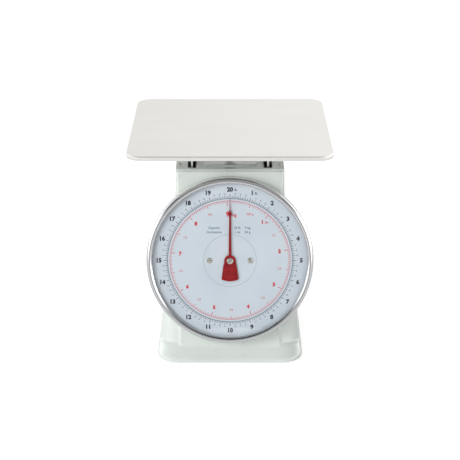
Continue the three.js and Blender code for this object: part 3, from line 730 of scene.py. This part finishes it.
def addScrew(node, axes, turn, s):
    # slotted head: a low dome over a short rim, with the slot cut by a bar across it
    axes = np.asarray(axes, float)
    local = (verticesOf(nodes[node].data).astype(float) / mm) @ axes.T
    low, high = local.min(0), local.max(0)
    centre = (low + high) / 2
    r = (high[0] - low[0]) / 2
    wide = np.hypot(local[:, 0] - centre[0], local[:, 1] - centre[1]) > r * 0.9
    seat, top = local[wide, 2].min(), high[2]
    shank = np.hypot(local[~wide, 0] - centre[0], local[~wide, 1] - centre[1])
    shankRadius = shank[local[~wide, 2] < seat - 0.1].max()
    rim = top - seat
    steps = np.radians(np.linspace(0, 90, 9))
    domeHeight = seat + rim * (1 - s["crown"]) + rim * s["crown"] * np.sin(steps)
    dome = np.stack([r * np.cos(steps), domeHeight], -1)
    profile = [[0, low[2]], [shankRadius, low[2]], [shankRadius, seat], [r - 0.15, seat], [r, seat + 0.15]]
    profile = np.array(profile + dome.tolist())
    points = turned(profile, 48)
    points = (points + [centre[0], centre[1], 0]) @ axes
    piece = newPiece(node + "_slotted", points, turnedFaces(points), finishes["screw_steel"], 40)
    half = np.array([r * 1.2, r * s["slotWidth"], rim])
    c, d = math.cos(math.radians(turn)), math.sin(math.radians(turn))
    corner = np.array([[x, y, z] for x in (-1, 1) for y in (-1, 1) for z in (-1, 1)]) * half
    corner = corner @ np.array([[c, d, 0], [-d, c, 0], [0, 0, 1]])
    corner = corner + [centre[0], centre[1], top + rim - rim * s["slotDepth"]]
    boxFaces = [[0, 1, 3, 2], [4, 6, 7, 5], [0, 4, 5, 1], [2, 3, 7, 6], [0, 2, 6, 4], [1, 5, 7, 3]]
    cutter = newPiece(node + "_cutter", corner @ axes, boxFaces, finishes["screw_steel"])
    modify(piece, "BOOLEAN", object=cutter, operation="DIFFERENCE", solver="EXACT")
    graph = bpy.context.evaluated_depsgraph_get()
    mesh = bpy.data.meshes.new_from_object(piece.evaluated_get(graph))
    piece.modifiers.clear()
    piece.data = mesh
    smoothShade(mesh)
    bpy.data.objects.remove(cutter)
    standFor(piece, node)


rearUp, rearOut = rearDirections(rearCoverSet)
rearAxes = [[1, 0, 0], -rearUp, rearOut]
# how far each slot was left turned, in degrees
screwTurns = [12, -35, 70, 20, 5, -60, 40, 85, 30, -15, 55, -80, 25]
screwNodes = sorted(name for name in nodes if "_screw" in name and name != "zero_screw")
for name, turn in zip(screwNodes, screwTurns):
    if name.startswith("rear_cover"):
        addScrew(name, rearAxes, turn, screwSet)
    elif name.startswith("cover"):
        addScrew(name, np.eye(3), turn, screwSet)
    else:
        addScrew(name, dialAxes, turn, screwSet)
print("screws made")


# ---- tray

traySet = {"gauge": 0.8, "corner": 19, "edge": 0.9, "hem": 0.3, "leastCorner": 0.2}


def addTray(s):
    low, high = boxOf("platform_tray")
    middle = (low + high) / 2
    half = (high - low) / 2
    top, foot, e, g = high[2], low[2], s["edge"], s["gauge"]
    # from the middle out over the rolled edge, round its hem and back in under the sheet
    flat = np.array([half[1] * 0.9, half[1] * 0.5, 30, e + 6, e + 1])
    bend = np.radians(np.linspace(0, 90, 10))
    hem = np.radians(np.linspace(0, 180, 7))
    inner, back = e - g, bend[::-1]
    inset = [flat, e * (1 - np.sin(bend)), g / 2 * (1 - np.cos(hem))]
    inset += [g + inner * (1 - np.sin(back)), flat[::-1]]
    z = [top + 0 * flat, top - e * (1 - np.cos(bend)), foot + s["hem"] * (1 - np.sin(hem))]
    z += [top - g - inner * (1 - np.cos(back)), top - g + 0 * flat]
    inset, z = np.concatenate(inset), np.concatenate(z)
    radius = np.maximum(s["corner"] - inset, s["leastCorner"])
    points = roundedRing(half[0] - inset, inset - half[1], half[1] - inset, radius, z, steps=14)
    points = points + [middle[0], middle[1], 0]
    faces = cappedFaces(*points.shape[:2])
    standFor(newPiece("tray_sheet", points, faces, finishes["stainless"]), "platform_tray")


addTray(traySet)
print("tray made")


# ---- dial

def dialPoints(node):
    # a frame node's vertices in dial millimetres
    return (verticesOf(nodes[node].data) / mm - dialPlace) @ dialAxes.T


def dialBox(node):
    local = dialPoints(node)
    return local.min(0), local.max(0)


bezelSet = {"crestAt": 100.9, "inner": 97.4, "wall": 2.4, "lipDrop": 3.2, "outerRise": 5.2, "innerRise": 2.9}


def addBezel(s):
    local = dialPoints("bezel_ring")
    outer = np.hypot(local[:, 0], local[:, 1]).max()
    foot, crest = local[:, 2].min(), local[:, 2].max()
    bore, lip = outer - s["wall"], crest - s["lipDrop"]
    at, inner, rise, fall = s["crestAt"], s["inner"], s["outerRise"], s["innerRise"]
    steps = np.radians(np.linspace(0, 90, 15))
    # quarter ellipses up the outside and down to the lens
    outside = np.stack([at + (outer - at) * np.cos(steps), crest - rise + rise * np.sin(steps)], -1)
    inside = np.stack([at - (at - inner) * np.sin(steps), crest - fall + fall * np.cos(steps)], -1)
    profile = [[bore, foot], [outer - 0.5, foot], [outer, foot + 0.4]]
    profile += outside.tolist() + inside.tolist()[1:]
    profile += [[inner, lip + 0.1], [inner + 0.2, lip], [bore, lip]]
    standTurned("bezel_chrome", "bezel_ring", onDial(turned(profile, 180)), "chrome", 40, closed=True)


addBezel(bezelSet)

panSet = {"gauge": 1.2, "backEdge": 2.2, "step": 3.2, "shoulderDrop": 3.4, "shoulderEdge": 0.8, "bore": 12}


def addPan(s):
    low, high = dialBox("dial_pan")
    r, g, e, k = high[0], s["gauge"], s["backEdge"], s["shoulderEdge"]
    seat, shoulder = r - s["step"], high[2] - s["shoulderDrop"]
    outside = arc((r - e, low[2] + e), e, -90, 0, 8) + arc((r - k, shoulder - k), k, 0, 90, 5)
    outside += [[seat + 0.6, shoulder], [seat, shoulder + 0.4], [seat, high[2]]]
    inside = [[seat - g, high[2]], [seat - g, shoulder - g], [r - g, shoulder - g]]
    inside += arc((r - e, low[2] + e), e - g, 0, -90, 6) + [[s["bore"], low[2] + g], [s["bore"], low[2]]]
    points = onDial(turned(outside + inside, 144))
    standTurned("dial_pan_pressing", "dial_pan", points, "enamel", 35, closed=True)


addPan(panSet)

faceSet = {"hole": 3.5, "dishRadius": 33, "dishDepth": 0.25, "dishSlope": 1.2, "edge": 0.3}


def addFace(s):
    # an annulus with a shallow round dish at its middle
    low, high = dialBox("dial_face")
    r, dish, slope = high[0], s["dishRadius"], s["dishSlope"]
    radius = np.array([s["hole"], 12, 24, dish - slope, dish - slope / 2, dish, 50, 78, r - s["edge"]])
    z = high[2] - s["dishDepth"] * (1 - stepUp(radius, dish - slope, slope))
    top = np.stack([radius, z], -1).tolist()
    under = [[r, high[2] - s["edge"]], [r, low[2]], [s["hole"], low[2]]]
    points = onDial(turned(top + under, 144))
    standTurned("dial_plate", "dial_face", points, "dial_paint", 30, closed=True)
    return high[2]


faceLevel = addFace(faceSet)

lensSet = {"gauge": 2.0, "rise": 1.0, "edge": 0.4}


def addLens(s):
    # a shallow dome of even gauge: height = rise (1 - (r / R)^2)
    low, high = dialBox("dial_lens")
    r = high[0]
    share = np.linspace(0, 1, 25)
    rise = s["rise"] * (1 - share**2)
    under = np.stack([share * (r - s["edge"]), low[2] + rise], -1)
    over = np.stack([share * (r - s["edge"]), low[2] + s["gauge"] + rise], -1)[::-1]
    edge = [[r, low[2] + s["edge"]], [r, low[2] + s["gauge"] - s["edge"]]]
    points = onDial(turned(under.tolist() + edge + over.tolist(), 144))
    standTurned("lens_glass", "dial_lens", points, "glass", 50)


addLens(lensSet)

gasketSet = {"bead": 0.7, "width": 2.2}


def addGasket(s):
    low, high = dialBox("lens_gasket")
    inner = high[0] - s["width"]
    b = s["bead"]
    profile = arc((inner + b, low[2] + b), b, 270, 180, 4) + arc((inner + b, high[2] - b), b, 180, 90, 4)
    profile += arc((high[0] - b, high[2] - b), b, 90, 0, 4) + arc((high[0] - b, low[2] + b), b, 0, -90, 4)
    standTurned("lens_seal", "lens_gasket", onDial(turned(profile, 144)), "rubber", 50, closed=True)


addGasket(gasketSet)
print("dial case made")


# ---- printing

printSet = {
    "lift": 0.03,
    "thickness": 0.05,
    "poundRing": 78.3,
    "kiloRing": 75.5,
    "ringWidth": 0.75,
    "redWidth": 0.45,
    "centreRing": 33.2,
    "centreWidth": 0.25,
    "pounds": 20,
    "ouncesInPound": 16,
    "kiloAngle": 360 / 9.0718,
    "poundLabels": 89.6,
    "ounceLabels": 84.4,
    "kiloLabels": 63.2,
}
# every how many graduations, their length and width in millimetres
poundTicks = [(1, 2.0, 0.35), (2, 3.2, 0.5), (4, 3.8, 0.55), (16, 5.2, 0.65)]
kiloTicks = [(1, 2.2, 0.55), (2, 3.0, 0.55), (10, 4.6, 0.65), (20, 6.0, 0.75)]


def printPiece(name, points, faces, ink):
    settle(newPiece(name, onDial(points), faces, inks[ink], 30), "housing")


def printedRing(radius, width, s):
    # a thin flat ring: four circles joined in turn
    inner, outer = radius - width / 2, radius + width / 2
    z0 = faceLevel + s["lift"]
    z1 = z0 + s["thickness"]
    points = turned([[inner, z0], [outer, z0], [outer, z1], [inner, z1]], 240)
    return points.reshape(-1, 3), turnedFaces(points, True)


def tickSizes(count, kinds):
    sizes = np.zeros((count, 2))
    for every, length, width in kinds:
        sizes[::every] = length, width
    return sizes[:, 0], sizes[:, 1]


def printedTicks(angles, inner, outer, widths, s):
    # thin bars along the radius, angles clockwise from the top in degrees
    a = np.radians(angles)[:, None]
    inner, outer = inner + 0 * angles, outer + 0 * angles
    along = np.stack([inner, outer, outer, inner] * 2, -1)
    across = np.stack([-widths, -widths, widths, widths] * 2, -1) / 2
    z = np.repeat([faceLevel + s["lift"], faceLevel + s["lift"] + s["thickness"]], 4)[None, :]
    x = along * np.sin(a) + across * np.cos(a)
    y = along * np.cos(a) - across * np.sin(a)
    points = np.stack([x, y, z + 0 * x], -1).reshape(-1, 3)
    oneBar = np.array([[3, 2, 1, 0], [4, 5, 6, 7], [0, 1, 5, 4], [1, 2, 6, 5], [2, 3, 7, 6], [3, 0, 4, 7]])
    faces = (np.arange(len(angles))[:, None, None] * 8 + oneBar[None]).reshape(-1, 4)
    return points, faces


def together(first, second):
    # two lots of points and faces as one
    return np.concatenate([first[0], second[0]]), np.concatenate([first[1], second[1] + len(first[0])])


def lettering(words, size, places, s, bold):
    # each word centred on its place, as one mesh of vertices and faces in dial millimetres
    points, faces, count = [], [], 0
    sizes = np.broadcast_to(size, len(words))
    for word, place, size in zip(words, places, sizes):
        curve = bpy.data.curves.new("word", "FONT")
        curve.body = word
        curve.size = float(size)
        curve.align_x = "CENTER"
        curve.align_y = "CENTER"
        curve.resolution_u = 2
        curve.extrude = s["thickness"] / 2
        curve.offset = bold
        holder = placed("word", curve)
        graph = bpy.context.evaluated_depsgraph_get()
        mesh = bpy.data.meshes.new_from_object(holder.evaluated_get(graph))
        points.append(verticesOf(mesh) + [place[0], place[1], faceLevel + s["lift"] + s["thickness"] / 2])
        faces += [[v + count for v in polygon.vertices] for polygon in mesh.polygons]
        count += len(mesh.vertices)
        bpy.data.objects.remove(holder)
        bpy.data.meshes.remove(mesh)
        bpy.data.curves.remove(curve)
    return np.concatenate(points), faces


def around(radius, degrees):
    # places on a circle, clockwise from the top
    a = np.radians(np.asarray(degrees, float))
    return np.stack([radius * np.sin(a), radius * np.cos(a)], -1)


def printWords(name, words, size, places, ink, s, bold):
    points, faces = lettering(words, size, places, s, bold)
    settle(plainPiece(name, onDial(points), faces, inks[ink], 1e-7), "housing")


def printDial(s):
    perPound = 360 / s["pounds"]
    ounces = np.arange(s["pounds"] * s["ouncesInPound"])
    length, width = tickSizes(len(ounces), poundTicks)
    ring = s["poundRing"]
    ticks = printedTicks(ounces * perPound / s["ouncesInPound"], ring, ring + length, width, s)
    printPiece("pound_ticks", *ticks, "black")
    printPiece("pound_ring", *printedRing(ring, s["ringWidth"], s), "grey")
    # a red graduation every 50 g up to 9 kg
    steps = np.arange(9 * 20 + 1)
    length, width = tickSizes(len(steps), kiloTicks)
    ring = s["kiloRing"]
    ticks = printedTicks(steps * 0.05 * s["kiloAngle"], ring - length, ring, width, s)
    printPiece("kilogram_scale", *together(ticks, printedRing(ring, s["redWidth"], s)), "red")
    printPiece("centre_circle", *printedRing(s["centreRing"], s["centreWidth"], s), "grey")
    pounds = np.arange(1, s["pounds"] + 1)
    places = around(s["poundLabels"], pounds * perPound)
    printWords("pound_numerals", [str(p) for p in pounds], 7.4, places, "black", s, 0.42)
    units = places[[-1, 0]] + [[7.2, -0.4], [4.8, -0.4]]
    printWords("pound_units", ["lb", "lb"], 4.2, units, "black", s, 0.1)
    quarters = [(p + q / 4) * perPound for p in range(s["pounds"]) for q in (1, 2, 3)]
    words = ["4", "8", "12"] * s["pounds"]
    printWords("ounce_numerals", words, 2.6, around(s["ounceLabels"], quarters), "black", s, 0.04)
    kilos = np.arange(1, 10)
    places = around(s["kiloLabels"], kilos * s["kiloAngle"])
    places[-1] += [0.2, -4.6]
    size = np.where(kilos == 9, 8.0, 6.2)
    printWords("kilogram_numerals", [str(k) for k in kilos], size, places, "red", s, 0.42)
    units = places[[0, -1]] + [[5.4, -0.4], [8.6, -1.0]]
    printWords("kilogram_units", ["kg", "kg"], [4.0, 5.4], units, "red", s, 0.12)
    halves = np.arange(0.5, 9, 1)
    words = ["500 g" if h < 1 else "%.1f" % h for h in halves]
    places = around(s["kiloLabels"], halves * s["kiloAngle"])
    places[0] += [3.6, -0.8]
    printWords("half_kilogram_numerals", words, 3.9, places, "red", s, 0.03)
    words = ["Capacity", "20 lb", "9 kg", "Graduation", "1 oz", "50 g"]
    columns, rows = [-20, 9, 22] * 2, [41.5] * 3 + [36] * 3
    printWords("capacity_lines", words, 4.2, list(zip(columns, rows)), "grey", s, 0.1)


printDial(printSet)
print("dial printed")


# ---- pointer

pointerSet = {
    "tip": 78,
    "tipHalf": 0.25,
    "spade": 59,
    "spadeHalf": 2.5,
    "point": 5.5,
    "pointHalf": 0.45,
    "neckHalf": 1.1,
    "shaftHalf": 1.7,
    "hub": 7.3,
    "waistHalf": 7.2,
    "tailRootHalf": 8.4,
    "tailHalf": 10.8,
    "tail": 24.2,
    "tailBow": 1.8,
    "tailCorner": 1.4,
    "crown": 0.5,
}


def addPointer(s):
    # half width along the length; the section is a low arch over a flat back
    low, high = dialBox("pointer")
    hub, base, tail, spade, tip = s["hub"], low[2], s["tail"], s["spade"], s["tip"]
    outline = np.array([
        [-tail, s["tailHalf"]], [-hub, s["tailRootHalf"]], [-1.5, s["waistHalf"]],
        [hub * 0.98, s["shaftHalf"]], [spade - 7, s["neckHalf"]], [spade - 3.5, s["neckHalf"]],
        [spade, s["spadeHalf"]], [spade + s["point"], s["pointHalf"]], [tip, s["tipHalf"]],
    ])
    along = np.concatenate([
        np.linspace(-tail, -tail + 2, 9), np.linspace(-tail + 3, -hub, 12),
        np.linspace(-hub + 0.3, hub, 40), np.linspace(hub + 0.5, spade - 8, 14),
        np.linspace(spade - 7.5, spade + 10, 26), [tip - 3, tip],
    ])
    half = np.interp(along, outline[:, 0], outline[:, 1])
    half = np.maximum(half, np.sqrt(np.maximum(hub**2 - along**2, 0)))
    corner = np.clip((along + tail) / s["tailCorner"], 0, 1)
    half = half - s["tailCorner"] * (1 - np.sqrt(1 - (1 - corner) ** 2))
    u = np.linspace(-1, 1, 13)[None, :]
    bow = s["tailBow"] * (1 - u * u) * stepUp(-along[:, None], hub, tail - hub)
    x = half[:, None] * u
    y = along[:, None] - bow
    gauge = high[2] - low[2]
    crown = s["crown"] * np.minimum(half[:, None] / 6, 1)
    top = base + gauge - crown + crown * np.sqrt(np.maximum(1 - u**4, 0)) + 0 * x
    flat = base + 0 * x
    ring = np.concatenate([np.stack([x, y, top], -1), np.stack([x, y, flat], -1)[:, ::-1]], 1)
    faces = cappedFaces(*ring.shape[:2])
    standFor(newPiece("pointer_blade", onDial(ring), faces, finishes["pointer_paint"], 50), "pointer")


addPointer(pointerSet)
print("pointer made")


# ---- carrier, frame and movement

for name in ("carrier_side_left", "carrier_side_right", "platform_spider", "rack_bracket", "spring_crossbar",
             "upper_link", "lower_link", "frame_upright_left", "frame_upright_right", "frame_bridge",
             "spring_hanger"):
    bevelledCopy(name, 0.4)
for name in ("movement_front_plate", "movement_rear_plate", "rack", "upper_carrier_pin", "lower_carrier_pin",
             "upper_frame_pin", "lower_frame_pin", "zero_screw", "pinion_arbor"):
    bevelledCopy(name, 0.15)
for name in ("movement_pillar_1", "movement_pillar_2", "dial_post_left", "dial_post_right"):
    bevelledCopy(name, 0.25)

bufferSet = {"bead": 1.0, "waist": 0.8, "hollow": 3, "hollowDepth": 0.6}


def addBuffer(node, s):
    low, high = boxOf(node)
    middle = (low + high) / 2
    r, b = (high[0] - low[0]) / 2, s["bead"]
    profile = [[0, low[2]]] + arc((r - b, low[2] + b), b, -90, 10, 5)
    profile += [[r - s["waist"], middle[2]]]
    floor = high[2] - s["hollowDepth"]
    profile += arc((r - b, high[2] - b), b, -10, 90, 5)
    profile += [[s["hollow"], high[2]], [s["hollow"] - s["hollowDepth"], floor], [0, floor]]
    points = turned(profile, 48) + [middle[0], middle[1], 0]
    standTurned(node + "_moulding", node, points, "rubber", 40)


for name in nodes:
    if name.startswith("buffer_"):
        addBuffer(name, bufferSet)

knobSet = {"ribs": 32, "ribDepth": 0.35}


def addKnob(s):
    # radius = profile - rib depth (1 - cos(ribs a)) / 2 on the grip
    low, high = boxOf("zero_knob")
    middle = (low + high) / 2
    r = (high[0] - low[0]) / 2
    profile = [[0, low[2]], [r - 1, low[2]]] + arc((r - 0.6, low[2] + 0.7), 0.6, -80, 0, 4)
    profile += [[r, low[2] + 2], [r, high[2] - 2.4]] + arc((r - 1.6, high[2] - 1.6), 1.6, 0, 85, 6)
    profile += [[r - 2.6, high[2] - 0.25], [0, high[2] - 0.4]]
    profile = np.array(profile)
    points = turned(profile, 192)
    grip = stepUp(profile[:, 1], low[2] + 0.6, 1) * (1 - stepUp(profile[:, 1], high[2] - 2.2, 1.2))
    grip = grip * (profile[:, 0] > r - 0.7)
    angle = np.linspace(0, 2 * math.pi, 192, endpoint=False)[None, :]
    rib = 1 - grip[:, None] * s["ribDepth"] * (1 - np.cos(s["ribs"] * angle)) / 2 / r
    points[..., :2] *= rib[..., None]
    points += [middle[0], middle[1], 0]
    standTurned("zero_knob_moulding", "zero_knob", points, "knob_plastic", 50)


addKnob(knobSet)

springSet = {"wire": 1.9, "turns": 26, "upperTurns": 8, "hookDrop": 6, "hookGap": 0.6, "turnSteps": 24}


def sweep(path, radius, sides=10):
    # a round section carried along a path; each ring stands square to it
    along = np.gradient(path, axis=0)
    along /= np.linalg.norm(along, axis=1, keepdims=True)
    side = np.cross(along, [0.3, 0.9, 0.2])
    side /= np.linalg.norm(side, axis=1, keepdims=True)
    other = np.cross(along, side)
    a = np.linspace(0, 2 * math.pi, sides, endpoint=False)[None, :, None]
    return path[:, None] + radius * (np.cos(a) * side[:, None] + np.sin(a) * other[:, None])


def springPart(name, rings):
    faces = cappedFaces(*rings.shape[:2])
    piece = plainPiece(name, rings, faces, finishes["spring_steel"])
    piece.data.shade_smooth()
    return piece


def hook(start, end):
    # from a coil's end in to the middle line: x and y shrink as cos(a)^1.5 while z climbs as
    # sin(a), a from 0 to 90 degrees
    ease = np.linspace(0, 1, 20)[1:, None] * math.pi / 2
    height = start[2] + (end - start[2]) * np.sin(ease)
    return np.concatenate([start[:2] * np.cos(ease) ** 1.5, height], 1)


def addSpring(node, s):
    # a close helix: x = R cos a, y = R sin a, z rising evenly, then a hook at each end
    low, high = boxOf(node)
    middle = (low + high) / 2
    r = (high[0] - low[0]) / 2 - s["wire"] / 2
    hangerLow = boxOf("spring_hanger")[0][2]
    barTop = boxOf("spring_crossbar")[1][2]
    z0, z1 = barTop + s["hookDrop"], hangerLow - s["hookDrop"]
    turn = np.linspace(0, 1, s["turns"] * s["turnSteps"])
    a = turn * s["turns"] * 2 * math.pi
    coil = np.stack([r * np.cos(a), r * np.sin(a), z0 + (z1 - z0) * turn], -1)
    lowHook = hook(coil[0], barTop + s["hookGap"])
    path = np.concatenate([lowHook[::-1], coil, hook(coil[-1], hangerLow - s["hookGap"])])
    path += [middle[0], middle[1], 0]
    # the spring is cut in two: the upper coils with the upper hook, and the rest with the lower hook
    split = len(path) - len(lowHook) - 1 - s["upperTurns"] * s["turnSteps"]
    rings = sweep(path, s["wire"] / 2)
    lower = springPart(node + "_coil", rings[: split + 1])
    upper = springPart(node + "_upper_coil", rings[split:])
    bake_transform(lower)
    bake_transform(upper)
    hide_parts(node)


for name in ("main_spring_left", "main_spring_right"):
    addSpring(name, springSet)
print("mechanism made")


# ---- studio

studioSet = {
    "floorHalf": 6,
    "floorGlow": 0.08,
    "floorShown": 0.72,
    "floorMirrored": 0.75,
    "skyLow": 1.9,
    "skyHigh": 0.5,
    "lowUpTo": 0.2,
    "highFrom": 0.5,
    "skyFront": 2.1,
    "skyBack": 0.65,
    "skyLeft": 0.95,
    "skyRight": 0.38,
    "rearGlow": 4,
    "rearUpTo": 0.16,
    "mirrorLeft": 0.88,
    "mirrorRight": 1.24,
    "mirrorSides": 3.2,
    "darkInner": 0.08,
    "darkOuter": 0.14,
    "darkFrom": 0.35,
    "darkFull": 0.55,
    "darkLevel": 0.09,
}
keyLight = {"power": 11, "size": 0.6, "place": (-1.0, -1.3, 0.95), "aim": (0, 0, 0.14)}


def studioSky(s):
    # brighter near the horizon, so that light comes in under the tray; mirrors see an even sky
    # with a dark ceiling and a small dark part of the room in front
    world = bpy.data.worlds.new("studio_sky")
    world.use_nodes = True
    world.cycles.sampling_method = "NONE"
    tree = world.node_tree
    tree.nodes.clear()
    direction = addNode(tree, "TexCoord").outputs["Generated"]
    axes = addNode(tree, "SeparateXYZ", {0: direction}).outputs
    height = spread(axes["Z"], s["lowUpTo"], s["highFrom"], s["skyLow"], s["skyHigh"])
    depth = spread(axes["Y"], -1, 1, s["skyFront"], s["skyBack"])
    side = spread(axes["X"], -1, 1, s["skyLeft"], s["skyRight"])
    lit = calculate("MULTIPLY", calculate("MULTIPLY", height, depth), side)
    # a bright backdrop low behind lights the casing's top under the tray
    low = spread(axes["Z"], s["rearUpTo"] * 0.5, s["rearUpTo"], s["rearGlow"], 0)
    rear = spread(axes["Y"], 0.0, 0.5, 0, 1)
    lit = calculate("ADD", lit, calculate("MULTIPLY", low, rear))
    # for mirrors: a small dark part low in front, a dark ceiling, and soft boxes at the sides
    sideways = calculate("ABSOLUTE", axes["X"])
    beside = spread(sideways, s["darkInner"], s["darkOuter"], 0, 1)
    over = spread(axes["Z"], 0.15, 0.25, 0, 1)
    under = spread(axes["Z"], s["darkFrom"], s["darkFull"], 1, 0)
    room = calculate("MINIMUM", calculate("MAXIMUM", beside, over), under)
    behind = spread(axes["Y"], -0.1, 0.8, 0, 1)
    dark = spread(calculate("MAXIMUM", room, behind), 0, 1, s["darkLevel"], 1)
    turn = spread(axes["X"], -0.3, 0.3, s["mirrorLeft"], s["mirrorRight"])
    boxes = spread(sideways, 0.55, 0.85, 1, s["mirrorSides"])
    mirrored = calculate("MULTIPLY", calculate("MULTIPLY", dark, turn), boxes)
    path = addNode(tree, "LightPath").outputs
    scattered = calculate("MINIMUM", path["Diffuse Depth"], 1.0)
    strength = addNode(tree, "Mix", {0: scattered, 2: mirrored, 3: lit}, data_type="FLOAT").outputs[0]
    background = addNode(tree, "Background", {"Strength": strength}, {"Color": linear("#ffffff")})
    addNode(tree, "OutputWorld", {"Surface": background.outputs[0]})
    return world


def addFloor(s):
    half = s["floorHalf"]
    corners = [(-half, -half, 0), (half, -half, 0), (half, half, 0), (-half, half, 0)]
    mesh = bpy.data.meshes.new("studio_floor")
    mesh.from_pydata(corners, [], [(0, 1, 2, 3)])
    material, shader = startMaterial("studio_paper", "#aaaaa9", Roughness=0.9)[:2]
    tree = shader.id_data
    shader.inputs["Emission Color"].default_value = linear("#ffffff")
    # camera and mirrors see the paper brighter than it lights the object
    path = addNode(tree, "LightPath").outputs
    glossy = calculate("MULTIPLY", path["Is Glossy Ray"], s["floorMirrored"])
    ray = calculate("MAXIMUM", path["Is Camera Ray"], glossy)
    seen = spread(ray, 0, 1, s["floorGlow"], s["floorGlow"] + s["floorShown"])
    tree.links.new(seen, shader.inputs["Emission Strength"])
    mesh.materials.append(material)
    placed("studio_floor", mesh)


def addLamp(name, s):
    data = bpy.data.lights.new(name, "AREA")
    data.energy = s["power"]
    data.shape = "RECTANGLE"
    data.size = data.size_y = s["size"]
    lamp = placed(name, data)
    lamp.visible_glossy = False
    lamp.visible_transmission = False
    lamp.location = s["place"]
    across = np.array(s["aim"]) - np.array(s["place"])
    pitch = math.atan2(np.hypot(across[0], across[1]), -across[2])
    lamp.rotation_euler = (pitch, 0, math.atan2(-across[0], across[1]))


bpy.context.scene.view_settings.view_transform = "Standard"
addFloor(studioSet)
bpy.context.scene.world = studioSky(studioSet)
addLamp("key_light", keyLight)
print("studio lit")
